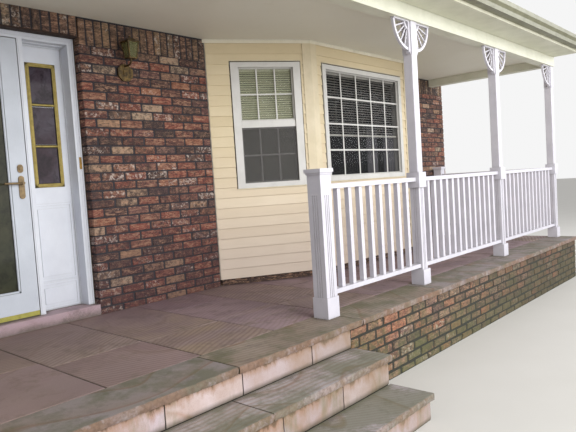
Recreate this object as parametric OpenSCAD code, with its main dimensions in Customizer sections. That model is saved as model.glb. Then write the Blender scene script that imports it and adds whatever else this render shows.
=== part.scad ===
// Front porch of a brick house: a raised floor of stone slabs on a brick base, three steps,
// square posts with railings, spindled fan brackets under the beam, a shed roof, a doorway
// with a storm door and sidelights, and a canted window bay.
// Sizes are millimetres. The pieces are laid out from the left face of the newel's plinth (x),
// the front faces of the posts (y) and the top of the porch floor (z). placed() then moves them
// so that the origin is the middle of the footprint, on the ground.

/* [Floor and steps] */
// Height of the porch floor over the ground
floor_height = 540; // [500:5:600]
// Drop from the floor to the upper tread
upper_riser = 175; // [150:5:190]
// Drop from the upper tread to the lower tread
middle_riser = 195; // [150:5:200]
// Depth of a step from edge to edge
going = 290; // [260:5:330]
// Thickness of the floor slabs, the coping and the treads
slab_thick = 42; // [30:1:55]
// Overhang of a tread or coping over the riser stone below it
tread_nosing = 28; // [15:1:40]
// Overhang of the coping over the brick base
coping_nosing = 25; // [10:1:40]
// Width of the coping along the front edge
coping_depth = 370; // [300:5:420]
// Reach of the coping in front of the posts
front_ledge = 215; // [150:5:260]
// Thickness of the riser stones
riser_thick = 60; // [40:5:80]
// Overhang of the treads at the ends of the steps
tread_end = 17; // [5:1:30]
// Floor beyond the centres of the corner posts
floor_margin = 92; // [80:1:140]

/* [Post spacing] */
// Newel to left corner post, across the steps
entry_span = 3387; // [3000:1:3700]
// Newel to first column
first_bay = 1376; // [1200:1:1600]
// First to second column
second_bay = 1820; // [1600:1:2100]
// Second column to right corner post
third_bay = 1860; // [1700:1:2200]
// Front faces of the posts to the brick wall
porch_depth = 1798; // [1700:1:2100]

/* [House wall] */
// Thickness of the house wall
wall_thick = 260; // [200:10:350]
// Brickwork beyond the ends of the porch floor
wall_margin = 278; // [100:1:400]
// Height of the house wall over the roof's upper edge
wall_over_roof = 60; // [20:5:200]

/* [Window bay] */
// Door axis to bay axis
bay_offset = 4074; // [4000:1:4200]
// Width of the bay's front wall
bay_front_width = 1894; // [1750:1:2000]
// Width that each canted side takes along the house wall
bay_cant_run = 904; // [850:1:950]
// How far the bay stands out of the house wall
bay_projection = 569; // [520:1:620]
// Thickness of the bay's walls
bay_wall = 150; // [120:5:200]
// Height of the masonry kerb under the siding
kerb_height = 60; // [40:5:90]
// Kerb set back from the siding's face
kerb_setback = 12; // [4:1:20]
// Width of the boards at the bay's corners
corner_board = 85; // [60:1:100]
// Thickness of corner boards and ceiling trim
board_thick = 14; // [8:1:20]
// Height of the trim under the ceiling
bay_trim_height = 36; // [25:1:90]

/* [Windows] */
// Drop from the ceiling to the top of the window casings
window_drop = 220; // [160:1:300]
// Bottom of the front window's casing over the floor
front_window_bottom = 962; // [900:1:1000]
// Bottom of the canted windows' casings over the floor
cant_window_bottom = 944; // [900:1:1000]
// Width of the front window over its casing
front_window_width = 1552; // [1450:1:1600]
// Width of a canted window over its casing
cant_window_width = 712; // [650:1:740]
// Canted window's casing from the house wall, along the cant
cant_window_offset = 236; // [200:1:245]
// Width of the front window's casing at the sides
front_casing = 57; // [40:1:70]
// Width of a canted window's casing with its sash stile
cant_casing = 75; // [55:1:85]
// Height of the casing at head and sill
casing_height = 49; // [35:1:60]
// Height of the meeting rail of a canted window
meeting_rail = 64; // [40:1:75]
// Top of the meeting rail over the floor
meeting_rail_top = 1604; // [1500:1:1680]
// Casing's reach in front of the siding
casing_proud = 16; // [8:1:25]
// Depth of the window frames in the wall
window_depth = 100; // [80:5:115]
// Thickness of the window panes
pane_thick = 18; // [6:1:24]
// Depth of the panes behind the siding's face
pane_setback = 22; // [15:1:40]

/* [Door unit] */
// Width of the doorway between the brick jambs
doorway_width = 1830; // [1700:1:1900]
// Drop from the ceiling to the doorway's head
doorway_drop = 152; // [100:1:250]
// Height of the stone sill
sill_height = 82; // [60:1:110]
// Recess of the door frame behind the brick face
frame_recess = 86; // [50:1:100]
// Width of the frame's outer casings
frame_casing = 55; // [45:1:70]
// Width of the mullions beside the storm door
mullion = 40; // [20:1:45]
// Height of the frame's head
frame_head = 62; // [45:1:80]
// Width of the storm door
leaf_width = 910; // [850:1:930]
// Thickness of the storm door
leaf_thick = 38; // [30:1:45]
// Running clearance round the storm door
leaf_gap = 7; // [6:1:9]
// Width of the storm door's stiles
leaf_stile = 125; // [100:1:150]
// Height of the storm door's top rail
leaf_top_rail = 136; // [90:1:160]
// Height of the storm door's bottom rail
leaf_bottom_rail = 190; // [150:1:260]
// Thickness of the storm door's glass
leaf_glass = 6; // [4:1:8]
// Height of the brass strip at the foot of the storm door
leaf_strip = 38; // [25:1:50]
// Depth of the sidelights behind the frame's face
sidelight_setback = 120; // [80:1:125]
// Thickness of the sidelight slabs
sidelight_thick = 40; // [30:1:45]
// Width of the sidelights' brass grille frames
grille_width = 242; // [220:1:260]
// Bottom of the grille frames over the floor
grille_bottom = 1061; // [1000:1:1150]
// Drop from the frame's head to the top of the grille frames
grille_drop = 145; // [90:1:200]
// Width of the grille frames' bars
grille_bar = 24; // [15:1:32]
// Reach of the grille frames in front of the sidelight slabs
grille_proud = 8; // [4:1:12]
// Thickness of the sidelights' panes
grille_pane = 18; // [6:1:20]
// Rail between a grille frame and the panel below it
panel_rail = 132; // [80:1:180]
// Top of the sidelights' lower panels over the floor
lower_panel_top = 297; // [230:1:400]
// Gap between the sidelights' two panels
panel_gap = 17; // [10:1:60]
// Gap between a lower panel and the sill
panel_foot_gap = 10; // [6:1:30]
// Width of the moulding round a panel
panel_moulding = 13; // [8:1:18]
// Bevel between a panel's edge and its raised field
panel_bevel = 40; // [25:1:50]
// Height of mouldings and raised fields over the slab
panel_proud = 5; // [3:1:8]

/* [Door fittings] */
// Radius of the hinge barrels
hinge_radius = 7; // [6:0.5:8]
// Radius of the hinge pins
hinge_pin = 3; // [2.5:0.5:4]
// Clearance between pin and barrel
hinge_clearance = 0.3; // [0.2:0.1:0.5]
// Length of a hinge barrel
hinge_length = 90; // [70:5:120]
// Gap between the hinge barrel and the frame's face
hinge_face_gap = 3; // [2:0.5:4]
// Distance of the hinge axis from the storm door's edge
hinge_offset = 4; // [3:0.5:6]
// Width of the hinge leaves
hinge_leaf = 24; // [18:1:30]
// Handle's height over the floor
handle_height = 1100; // [1000:5:1200]
// Handle's centre from the storm door's free edge
handle_inset = 53; // [45:1:60]
// Width of the plates behind the handle and the deadbolt
handle_plate_width = 42; // [34:1:50]
// Reach of the handle's plate above the lever
handle_plate_above = 56; // [40:1:70]
// Reach of the handle's plate below the lever
handle_plate_below = 117; // [90:1:130]
// Thickness of the plates behind the handle and the deadbolt
handle_plate_thick = 8; // [4:1:10]
// Length of the lever
lever_length = 130; // [100:1:140]
// Radius of the lever
lever_radius = 8; // [6:0.5:10]
// Reach of the lever's axis in front of the plate
lever_reach = 28; // [22:1:40]
// Height of the deadbolt over the lever
bolt_rise = 110; // [100:1:140]
// Length of the deadbolt's plate
bolt_plate = 62; // [50:1:80]
// Doorbell's height over the lever
doorbell_rise = 142; // [100:1:200]
// Width of the doorbell
doorbell_width = 24; // [20:1:45]
// Length of the doorbell
doorbell_length = 95; // [70:1:110]
// Thickness of the doorbell's plate
doorbell_thick = 6; // [3:1:8]

/* [Posts] */
// Width of a column's plinth and blocks
block_width = 124; // [110:1:140]
// Width of the column shafts
shaft_width = 89; // [80:1:100]
// Height of a column's plinth
column_plinth = 135; // [110:1:160]
// Foot of the block at rail height
rail_block_foot = 861; // [830:1:880]
// Top of the block at rail height
rail_block_top = 994; // [970:1:1030]
// Height of the block under the beam
top_block = 283; // [260:1:400]
// Width of the block under the beam
top_block_width = 94; // [90:1:124]
// Chamfer of the upper shafts
shaft_chamfer = 6; // [4:1:20]
// Width of the newels' plinths
newel_plinth_width = 133; // [125:1:150]
// Height of the newels' plinths
newel_plinth = 148; // [120:1:160]
// Width of the newels' shafts
newel_width = 120; // [100:1:122]
// Height of the newels up to the cap
newel_height = 1020; // [1000:1:1100]
// Width of the newels' caps
newel_cap_width = 150; // [140:1:170]
// Height of the newels' caps
newel_cap = 41; // [30:1:60]
// Width of the flutes in the posts
flute_width = 9; // [5:1:12]
// Depth of the flutes in the posts
flute_depth = 4; // [2:0.5:6]

/* [Railings] */
// Top of the railings over the floor
rail_top = 950; // [900:1:960]
// Height of the top rail
top_rail = 35; // [30:1:50]
// Underside of the bottom rail over the floor
bottom_rail_foot = 153; // [150:1:170]
// Height of the bottom rail
bottom_rail = 33; // [28:1:45]
// Width of the rails
rail_width = 60; // [45:1:80]
// Width of the balusters
baluster = 38; // [30:1:45]
// Balusters in the first bay
first_balusters = 8; // [7:1:10]
// Balusters in the second bay
second_balusters = 13; // [11:1:15]
// Balusters in the third bay
third_balusters = 13; // [11:1:16]
// Balusters in a side railing
side_balusters = 11; // [9:1:12]

/* [Fan brackets] */
// Outer radius of the rim
fan_radius = 253; // [200:1:270]
// Width of the rim
fan_rim = 22; // [16:1:30]
// Outer radius of the hub ring
fan_hub = 82; // [65:1:95]
// Width of the hub ring
fan_hub_rim = 18; // [12:1:24]
// Thickness of rim and hub
fan_thick = 22; // [16:1:30]
// Width of the legs against the posts
fan_leg = 26; // [15:1:35]
// Thickness of the legs and of the strips under the beam
fan_leg_thick = 36; // [24:1:44]
// Height of the strips under the beam
fan_strip = 12; // [6:1:20]
// Reach of the legs under the foot of the rim
fan_tail = 30; // [10:1:40]
// Brackets' middle in front of the posts' middle
fan_forward = 18; // [0:1:24]
// Spindles in a bracket
fan_spindles = 4; // [3:1:6]
// Radius of a spindle's thin ends
spindle_neck = 5; // [4:0.5:6]
// Radius of a spindle's bead
spindle_bead = 10; // [8:0.5:11]

/* [Beam and ceiling] */
// Height of the ceiling over the floor
ceiling_height = 2400; // [2250:5:2700]
// Drop from the ceiling to the beam's underside
beam_drop = 102; // [60:1:160]
// Height of the beam above the ceiling's underside
beam_over = 24; // [12:1:60]
// Thickness of ceiling and soffit boards
ceiling_thick = 12; // [9:1:20]

/* [Roof] */
// Reach of the soffit in front of the posts
eave_reach = 299; // [250:1:350]
// Height of the fascia
fascia_height = 146; // [130:1:170]
// Thickness of fascia and end boards
fascia_thick = 20; // [15:1:25]
// Angle of the roof's slope, in degrees
roof_angle = 14; // [8:0.5:20]
// Thickness of the roof deck
deck_thick = 40; // [30:1:60]
// Deck's reach in front of the fascia
deck_drip = 30; // [20:1:50]
// Deck's reach past the roof's ends
deck_side = 10; // [0:1:20]
// Clearance between the deck and the roof's end boards
deck_clearance = 0.05; // [0.02:0.01:0.2]
// Depth of the gutter from front to back
gutter_depth = 120; // [100:1:130]
// Height of the gutter
gutter_height = 107; // [90:1:115]
// Thickness of the gutter's metal
gutter_metal = 3; // [2:0.5:4]
// Gap between the gutter and the deck over it
gutter_gap = 3; // [1:1:6]

/* [Lantern] */
// Lantern's centre from the door's right jamb
lantern_offset = 402; // [350:1:450]
// Drop from the ceiling to the middle of the lantern's back plate
lantern_drop = 407; // [350:1:600]
// Width of the back plate
lantern_plate = 141; // [110:1:160]
// Thickness of the back plate
lantern_plate_thick = 16; // [8:1:20]
// Reach of the lantern's axis from the wall
lantern_reach = 112; // [100:1:150]
// Radius of the lantern's arm
lantern_arm = 8; // [6:0.5:10]
// Lantern's foot over the middle of the back plate
lantern_rise = 98; // [85:1:120]
// Width of the lantern's body at its foot
lantern_foot_width = 74; // [60:1:90]
// Width of the lantern's body at its top
lantern_width = 112; // [95:1:130]
// Height of the lantern's body
lantern_body = 140; // [110:1:160]
// Height of the lantern's roof
lantern_roof = 32; // [20:1:45]
// Overhang of the lantern's roof
lantern_eave = 8; // [4:1:12]
// Width of the bars round the lantern's panes
lantern_bar = 9; // [6:1:12]
// Thickness of the lantern's sheet metal
lantern_metal = 4; // [3:0.5:5]
// Thickness of the lantern's panes
lantern_pane = 3; // [2:0.5:4]
// Clearance round the lantern's panes
lantern_clearance = 0.3; // [0.2:0.1:0.5]

/* [Hidden] */
$fn = 48;
tiny = 0.01;

// Post centres from left to right
newel_x = newel_plinth_width / 2;
left_x = newel_x - entry_span;
first_x = newel_x + first_bay;
second_x = first_x + second_bay;
right_x = second_x + third_bay;
post_y = block_width / 2;
column_xs = [left_x, first_x, second_x, right_x];

// Ends of the floor and of the house wall
floor_left = left_x - floor_margin;
floor_right = right_x + floor_margin;
wall_left_end = floor_left - wall_margin;
wall_right_end = floor_right + wall_margin;
wall_back = porch_depth + wall_thick;

// Steps, centred on the door
door_x = (left_x + newel_x) / 2;
steps_right = 0;
steps_left = 2 * door_x - steps_right;
coping_edge = -front_ledge;
upper_edge = coping_edge - going;
lower_edge = upper_edge - going;
upper_top = -upper_riser;
lower_top = upper_top - middle_riser;
ground = -floor_height;

// Middle of the footprint
middle_x = (wall_left_end + wall_right_end) / 2;
middle_y = (lower_edge + wall_back) / 2;

// Heights that follow the ceiling
window_top = ceiling_height - window_drop;
doorway_head = ceiling_height - doorway_drop;
head_foot = doorway_head - frame_head;
grille_top = head_foot - grille_drop;
lantern_height = ceiling_height - lantern_drop;

// Doorway and door unit
jamb_left = door_x - doorway_width / 2;
jamb_right = door_x + doorway_width / 2;
frame_y = porch_depth + frame_recess;
leaf_half = leaf_width / 2 + leaf_gap;
leaf_foot = sill_height + leaf_gap;
leaf_top = head_foot - leaf_gap;
hinge_x = door_x - leaf_width / 2 - hinge_offset;
hinge_y = frame_y - hinge_face_gap - hinge_radius;
sidelight_y = frame_y + sidelight_setback;
sidelight_inner = leaf_half + mullion;
sidelight_outer = doorway_width / 2 - frame_casing;
sidelight_mid = (sidelight_inner + sidelight_outer) / 2;
handle_x = door_x + leaf_width / 2 - handle_inset;

// Bay
bay_x = door_x + bay_offset;
bay_front_y = porch_depth - bay_projection;
bay_half = bay_front_width / 2;
bay_foot_half = bay_half + bay_cant_run;
cant_angle = atan2(bay_projection, bay_cant_run);
cant_length = norm([bay_cant_run, bay_projection]);

// Beam and roof
beam_foot = ceiling_height - beam_drop;
beam_top = ceiling_height + beam_over;
beam_left = left_x - block_width / 2;
beam_right = right_x + block_width / 2;
roof_slope = tan(roof_angle);
fascia_top = beam_top + fascia_height;
roof_at_wall = fascia_top + (porch_depth + eave_reach) * roof_slope;
deck_height = deck_thick * norm([1, roof_slope]);
wall_top = roof_at_wall + deck_height + wall_over_roof;

// Moves the layout's zero point to the middle of the footprint, on the ground
module placed() {
    translate([-middle_x, -middle_y, floor_height]) children();
}

// A box between two corners
module block(low, high) {
    translate(low) cube(high - low);
}

// Repeats a piece mirrored about the door's axis
module both_sides_of_door() {
    children();
    translate([2 * door_x, 0, 0]) mirror([1, 0, 0]) children();
}

// Repeats a piece mirrored about the middle of the porch
module both_ends() {
    children();
    translate([left_x + right_x, 0, 0]) mirror([1, 0, 0]) children();
}

// An outline in y and z, drawn out from x = left to x = right
module along_x(left, right, outline) {
    translate([left, 0, 0]) rotate([90, 0, 90]) linear_extrude(right - left) polygon(outline);
}

// Base, floor and steps

module porch_base() {
    core_front = coping_edge + tread_nosing + riser_thick;
    face = coping_edge + coping_nosing;
    left = floor_left + coping_nosing;
    right = floor_right - coping_nosing;
    color("#8a5a4a") placed() union() {
        block([left, core_front, ground], [right, porch_depth, -slab_thick]);
        block([steps_right, face, ground], [right, core_front + tiny, -slab_thick]);
        block([left, face, ground], [steps_left, core_front + tiny, -slab_thick]);
        under_wall(jamb_left, jamb_right);
        under_wall(bay_x - bay_foot_half, bay_x + bay_foot_half);
    }
}

// The base's masonry where it carries the sill or the bay in place of the house wall
module under_wall(left, right) {
    block([left, porch_depth - tiny, ground], [right, wall_back, -slab_thick]);
    block([left, porch_depth, -slab_thick - tiny], [right, wall_back, 0]);
}

module front_coping() {
    color("#9a958c") placed()
        block([floor_left, coping_edge, -slab_thick],
              [floor_right, coping_edge + coping_depth, 0]);
}

module floor_slabs() {
    color("#8f8a80") placed()
        block([floor_left, coping_edge + coping_depth, -slab_thick],
              [floor_right, porch_depth, 0]);
}

// A riser stone behind a nosing, from one tread's top to the next slab's underside
module riser(edge, foot, top) {
    block([steps_left, edge + tread_nosing, foot],
          [steps_right, edge + tread_nosing + riser_thick, top]);
}

module riser_stones() {
    color("#a39d92") placed() {
        riser(coping_edge, upper_top, -slab_thick);
        riser(upper_edge, lower_top, upper_top - slab_thick);
        riser(lower_edge, ground, lower_top - slab_thick);
    }
}

// A tread that runs in under the riser behind it. Its wider part ends at the brick base.
module tread(edge, top) {
    wide_back = edge + going + min(tread_nosing, coping_nosing);
    block([steps_left - tread_end, edge, top - slab_thick],
          [steps_right + tread_end, wide_back, top]);
    block([steps_left, wide_back - tiny, top - slab_thick],
          [steps_right, edge + going + tread_nosing + riser_thick, top]);
}

module step_treads() {
    color("#9a958c") placed() {
        union() tread(upper_edge, upper_top);
        union() tread(lower_edge, lower_top);
    }
}

module step_core() {
    back = coping_edge + tread_nosing + riser_thick;
    upper_front = upper_edge + tread_nosing + riser_thick;
    lower_front = lower_edge + tread_nosing + riser_thick;
    color("#77726a") placed()
        along_x(steps_left, steps_right, [
            [lower_front, ground],
            [back, ground],
            [back, upper_top - slab_thick],
            [upper_front, upper_top - slab_thick],
            [upper_front, lower_top - slab_thick],
            [lower_front, lower_top - slab_thick],
        ]);
}

// House wall

module wall_piece(left, right, foot, top) {
    color("#9c6a58") placed() block([left, porch_depth, foot], [right, wall_back, top]);
}

module wall_left() {
    wall_piece(wall_left_end, jamb_left, ground, wall_top);
}

module wall_centre() {
    wall_piece(jamb_right, bay_x - bay_foot_half, ground, wall_top);
}

module wall_right() {
    wall_piece(bay_x + bay_foot_half, wall_right_end, ground, wall_top);
}

module wall_over_door() {
    wall_piece(jamb_left, jamb_right, doorway_head, wall_top);
}

module wall_over_bay() {
    wall_piece(bay_x - bay_foot_half, bay_x + bay_foot_half, ceiling_height, wall_top);
}

// Window bay

// Puts a piece drawn along x, with y = 0 on the siding's face, on the left cant
module on_cant() {
    translate([bay_x - bay_foot_half, porch_depth, 0]) rotate([0, 0, -cant_angle]) children();
}

// Repeats a piece mirrored about the bay's axis
module other_cant() {
    translate([2 * bay_x, 0, 0]) mirror([1, 0, 0]) children();
}

// Half the bay's width at its front and at the house wall, for a line set in from the siding
function front_half(inset) = bay_half - inset * tan(cant_angle / 2);
function foot_half(inset) = bay_foot_half - inset / sin(cant_angle);

// Half of a band that runs round the bay, from the house wall to the bay's front corner.
// Where it returns through the house wall, it starts at the wall's back.
function half_band(inset, returns) = [
    if (returns) [-foot_half(inset), wall_back],
    [-foot_half(inset), porch_depth],
    [-front_half(inset), bay_front_y + inset],
];

function backwards(points) = [for (step = [len(points) - 1:-1:0]) points[step]];

// The same points on the other side of the bay's axis, in the opposite order
function mirrored(points) = [for (point = backwards(points)) [-point.x, point.y]];

// Plan of a band that runs round the whole bay
module round_bay(inset, thick, returns) {
    outer = half_band(inset, returns);
    inner = half_band(inset + thick, returns);
    translate([bay_x, 0])
        polygon(concat(outer, mirrored(outer), backwards(mirrored(inner)), backwards(inner)));
}

// Plan of the left cant's wall. It ends on the mitre at the bay's corner and returns through
// the house wall.
module cant_plan() {
    polygon([
        [bay_x - foot_half(0), wall_back],
        [bay_x - foot_half(0), porch_depth],
        [bay_x - front_half(0), bay_front_y],
        [bay_x - front_half(bay_wall), bay_front_y + bay_wall],
        [bay_x - foot_half(bay_wall), porch_depth],
        [bay_x - foot_half(bay_wall), wall_back],
    ]);
}

// Plan of the bay's front wall, between the two mitres
module front_plan() {
    polygon([
        [bay_x - front_half(0), bay_front_y],
        [bay_x + front_half(0), bay_front_y],
        [bay_x + front_half(bay_wall), bay_front_y + bay_wall],
        [bay_x - front_half(bay_wall), bay_front_y + bay_wall],
    ]);
}

module left_cant_wall() {
    difference() {
        translate([0, 0, kerb_height])
            linear_extrude(ceiling_height - kerb_height) cant_plan();
        on_cant()
            block([cant_window_offset, -bay_wall, cant_window_bottom],
                  [cant_window_offset + cant_window_width, 2 * bay_wall, window_top]);
    }
}

module bay_left() {
    color("#d3c9b4") placed() left_cant_wall();
}

module bay_right() {
    color("#d3c9b4") placed() other_cant() left_cant_wall();
}

module bay_front() {
    half = front_window_width / 2;
    color("#d3c9b4") placed() difference() {
        translate([0, 0, kerb_height])
            linear_extrude(ceiling_height - kerb_height) front_plan();
        block([bay_x - half, bay_front_y - bay_wall, front_window_bottom],
              [bay_x + half, bay_front_y + 2 * bay_wall, window_top]);
    }
}

module bay_kerb() {
    color("#7b5546") placed() linear_extrude(kerb_height)
        round_bay(kerb_setback, bay_wall - kerb_setback, true);
}

// Plan of the boards that fold round the bay's left corner
module corner_plan() {
    corner = [bay_x - bay_half, bay_front_y];
    mitre = tan(cant_angle / 2);
    along = [cos(cant_angle), -sin(cant_angle)];
    outward = [-sin(cant_angle), -cos(cant_angle)];
    polygon([
        corner,
        corner - corner_board * along,
        corner - corner_board * along + board_thick * outward,
        corner - board_thick * [mitre, 1],
        corner + [corner_board, -board_thick],
        corner + [corner_board, 0],
    ]);
}

module bay_corner_boards() {
    height = ceiling_height - bay_trim_height - kerb_height;
    color("#d9d2c2") placed() translate([0, 0, kerb_height]) linear_extrude(height) {
        corner_plan();
        other_cant() corner_plan();
    }
}

module bay_trim() {
    color("#e4dece") placed() translate([0, 0, ceiling_height - bay_trim_height])
        linear_extrude(bay_trim_height)
            round_bay(-board_thick, board_thick, false);
}

// Windows. Each is drawn from the lower left corner of its casing, with y = 0 on the siding.

module window_frame(width, height, side) {
    difference() {
        block([0, -casing_proud, 0], [width, window_depth, height]);
        block([side, -2 * casing_proud, casing_height],
              [width - side, 2 * window_depth, height - casing_height]);
    }
}

module window_pane(left, right, foot, top) {
    block([left, pane_setback, foot], [right, pane_setback + pane_thick, top]);
}

// Frame of a canted window with its meeting rail
module cant_frame() {
    height = window_top - cant_window_bottom;
    rail = meeting_rail_top - cant_window_bottom;
    union() {
        window_frame(cant_window_width, height, cant_casing);
        block([cant_casing - tiny, 0, rail - meeting_rail],
              [cant_window_width - cant_casing + tiny, window_depth, rail]);
    }
}

// The two panes of a canted window
module cant_panes() {
    height = window_top - cant_window_bottom;
    rail = meeting_rail_top - cant_window_bottom;
    right = cant_window_width - cant_casing;
    window_pane(cant_casing, right, casing_height, rail - meeting_rail);
    window_pane(cant_casing, right, rail, height - casing_height);
}

module at_cant_window() {
    on_cant() translate([cant_window_offset, 0, cant_window_bottom]) children();
}

module at_front_window() {
    translate([bay_x - front_window_width / 2, bay_front_y, front_window_bottom]) children();
}

module window_frames() {
    height = window_top - front_window_bottom;
    color("#ece8de") placed() {
        at_cant_window() cant_frame();
        at_front_window() window_frame(front_window_width, height, front_casing);
        other_cant() at_cant_window() cant_frame();
    }
}

module window_panes() {
    height = window_top - front_window_bottom;
    color("#aebcbc") placed() {
        at_cant_window() cant_panes();
        at_front_window()
            window_pane(front_casing, front_window_width - front_casing,
                        casing_height, height - casing_height);
        other_cant() at_cant_window() cant_panes();
    }
}

// Door unit

module door_sill() {
    color("#b79a8c") placed()
        block([jamb_left, porch_depth, 0], [jamb_right, wall_back, sill_height]);
}

// Outer casing and mullion to the right of the door's axis
module frame_uprights(foot, top) {
    block([door_x + leaf_half, frame_y, foot],
          [door_x + leaf_half + mullion, wall_back, top]);
    block([door_x + sidelight_outer, frame_y, foot], [jamb_right, wall_back, top]);
}

module door_frame() {
    color("#f0ede4") placed() union() {
        block([jamb_left, frame_y, head_foot], [jamb_right, wall_back, doorway_head]);
        both_sides_of_door() frame_uprights(sill_height, head_foot + tiny);
    }
}

module storm_door() {
    half = leaf_width / 2;
    color("#f2efe6") placed() difference() {
        block([door_x - half, frame_y, leaf_foot + leaf_strip],
              [door_x + half, frame_y + leaf_thick, leaf_top]);
        block([door_x - half + leaf_stile, frame_y - leaf_thick, leaf_foot + leaf_bottom_rail],
              [door_x + half - leaf_stile, frame_y + 2 * leaf_thick, leaf_top - leaf_top_rail]);
    }
}

module storm_door_glass() {
    half = leaf_width / 2 - leaf_stile;
    pane_y = frame_y + leaf_thick / 2;
    color("#9fb0b0") placed()
        block([door_x - half, pane_y - leaf_glass / 2, leaf_foot + leaf_bottom_rail],
              [door_x + half, pane_y + leaf_glass / 2, leaf_top - leaf_top_rail]);
}

module storm_door_strip() {
    half = leaf_width / 2;
    color("#b98d3c") placed()
        block([door_x - half, frame_y, leaf_foot],
              [door_x + half, frame_y + leaf_thick, leaf_foot + leaf_strip]);
}

// Heights of the three hinges' middles
hinge_heights = [for (share = [0.1, 0.5, 0.9]) leaf_foot + share * (leaf_top - leaf_foot)];

module storm_door_hinges() {
    half = hinge_length / 6;
    color("#c9a55a") placed() for (height = hinge_heights) translate([hinge_x, hinge_y, height])
        difference() {
            union() {
                translate([0, 0, -half]) cylinder(h = 2 * half, r = hinge_radius);
                block([0, 0, -half], [hinge_offset + hinge_leaf, frame_y - hinge_y, half]);
            }
            translate([0, 0, -hinge_length])
                cylinder(h = 2 * hinge_length, r = hinge_pin + hinge_clearance);
        }
}

module frame_hinges() {
    half = hinge_length / 2;
    third = hinge_length / 6 + hinge_clearance;
    color("#c9a55a") placed() for (height = hinge_heights) translate([hinge_x, hinge_y, height])
        union() {
            translate([0, 0, -half]) cylinder(h = hinge_length, r = hinge_pin);
            for (low = [-half, third]) {
                translate([0, 0, low]) cylinder(h = half - third, r = hinge_radius);
                block([-hinge_leaf, 0, low], [0, frame_y - hinge_y, low + half - third]);
            }
        }
}

// An upright plate with round ends against y = 0, from foot to top
module round_plate(width, thick, foot, top) {
    radius = width / 2;
    union() {
        block([-radius, -thick, foot + radius], [radius, 0, top - radius]);
        for (end = [foot + radius, top - radius])
            translate([0, 0, end]) rotate([90, 0, 0]) cylinder(h = thick, r = radius);
    }
}

// The lever on its neck, from the plate's face. It points to the hinges and ends in a ball.
module lever() {
    neck = 1.4 * lever_radius;
    translate([0, tiny, 0]) rotate([90, 0, 0]) cylinder(h = lever_reach + neck, r = neck);
    translate([0, -lever_reach, 0]) rotate([0, -90, 0]) cylinder(h = lever_length, r = lever_radius);
    translate([-lever_length, -lever_reach, 0]) sphere(r = 1.25 * lever_radius);
}

module door_handle() {
    thick = handle_plate_thick;
    color("#b98d3c") placed() translate([handle_x, frame_y, handle_height]) {
        union() {
            round_plate(handle_plate_width, thick, -handle_plate_below, handle_plate_above);
            translate([0, -thick, 0]) lever();
        }
        translate([0, 0, bolt_rise]) union() {
            round_plate(handle_plate_width, thick, -bolt_plate / 2, bolt_plate / 2);
            translate([0, -thick + tiny, 0]) rotate([90, 0, 0])
                cylinder(h = thick, r = 0.3 * handle_plate_width);
        }
    }
}

// A raised panel on the right sidelight, between two heights: a moulding and a field inside it
module raised_panel(foot, top) {
    half = grille_width / 2 + panel_bevel;
    front = sidelight_y - panel_proud;
    inner = half - panel_moulding;
    field = half - panel_bevel;
    translate([door_x + sidelight_mid, 0, 0]) {
        difference() {
            block([-half, front, foot], [half, sidelight_y + tiny, top]);
            block([-inner, front - 1, foot + panel_moulding],
                  [inner, sidelight_y + 1, top - panel_moulding]);
        }
        block([-field, front, foot + panel_bevel], [field, sidelight_y + tiny, top - panel_bevel]);
    }
}

// The right sidelight: a slab with an opening for its grille and two raised panels
module sidelight() {
    half = grille_width / 2;
    middle = door_x + sidelight_mid;
    union() {
        difference() {
            block([door_x + sidelight_inner, sidelight_y, sill_height],
                  [door_x + sidelight_outer, sidelight_y + sidelight_thick, head_foot]);
            block([middle - half, sidelight_y - sidelight_thick, grille_bottom],
                  [middle + half, sidelight_y + 2 * sidelight_thick, grille_top]);
        }
        raised_panel(lower_panel_top + panel_gap, grille_bottom - panel_rail);
        raised_panel(sill_height + panel_foot_gap, lower_panel_top);
    }
}

module sidelights() {
    color("#efece3") placed() both_sides_of_door() sidelight();
}

// Height of a sidelight's three lites, and the foot of each
lite = (grille_top - grille_bottom - 4 * grille_bar) / 3;
lite_feet = [for (row = [0:2]) grille_bottom + grille_bar + row * (lite + grille_bar)];

// Ring and two bars of a sidelight's grille, in the slab's opening
module grille() {
    half = grille_width / 2;
    front = sidelight_y - grille_proud;
    back = sidelight_y + sidelight_thick;
    translate([door_x + sidelight_mid, 0, 0]) difference() {
        block([-half, front, grille_bottom], [half, back, grille_top]);
        for (foot = lite_feet)
            block([-half + grille_bar, front - 1, foot], [half - grille_bar, back + 1, foot + lite]);
    }
}

module sidelight_grilles() {
    color("#b8923f") placed() both_sides_of_door() grille();
}

module grille_panes() {
    half = grille_width / 2 - grille_bar;
    front = sidelight_y + grille_proud;
    for (foot = lite_feet) translate([door_x + sidelight_mid, 0, 0])
        block([-half, front, foot], [half, front + grille_pane, foot + lite]);
}

module sidelight_panes() {
    color("#c9cfcb") placed() both_sides_of_door() grille_panes();
}

module doorbell() {
    middle = jamb_right - 0.4 * frame_casing;
    button = 0.26 * doorbell_width;
    color("#b98d3c") placed() translate([middle, frame_y, handle_height + doorbell_rise]) union() {
        block([-doorbell_width / 2, -doorbell_thick, -doorbell_length / 2],
              [doorbell_width / 2, 0, doorbell_length / 2]);
        translate([0, -doorbell_thick + tiny, 0]) rotate([90, 0, 0])
            cylinder(h = doorbell_thick, r = button);
    }
}

// Posts

// Plan of a square post with flutes down the middle of each face
module fluted_plan(width, flutes) {
    pitch = 2.2 * flute_width;
    difference() {
        square(width, center = true);
        for (turn = [0:3]) rotate(90 * turn)
            for (step = [0:flutes - 1])
                translate([(step - (flutes - 1) / 2) * pitch, width / 2])
                    square([flute_width, 2 * flute_depth], center = true);
    }
}

module square_post(width, foot, top) {
    translate([-width / 2, -width / 2, foot]) cube([width, width, top - foot]);
}

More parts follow.
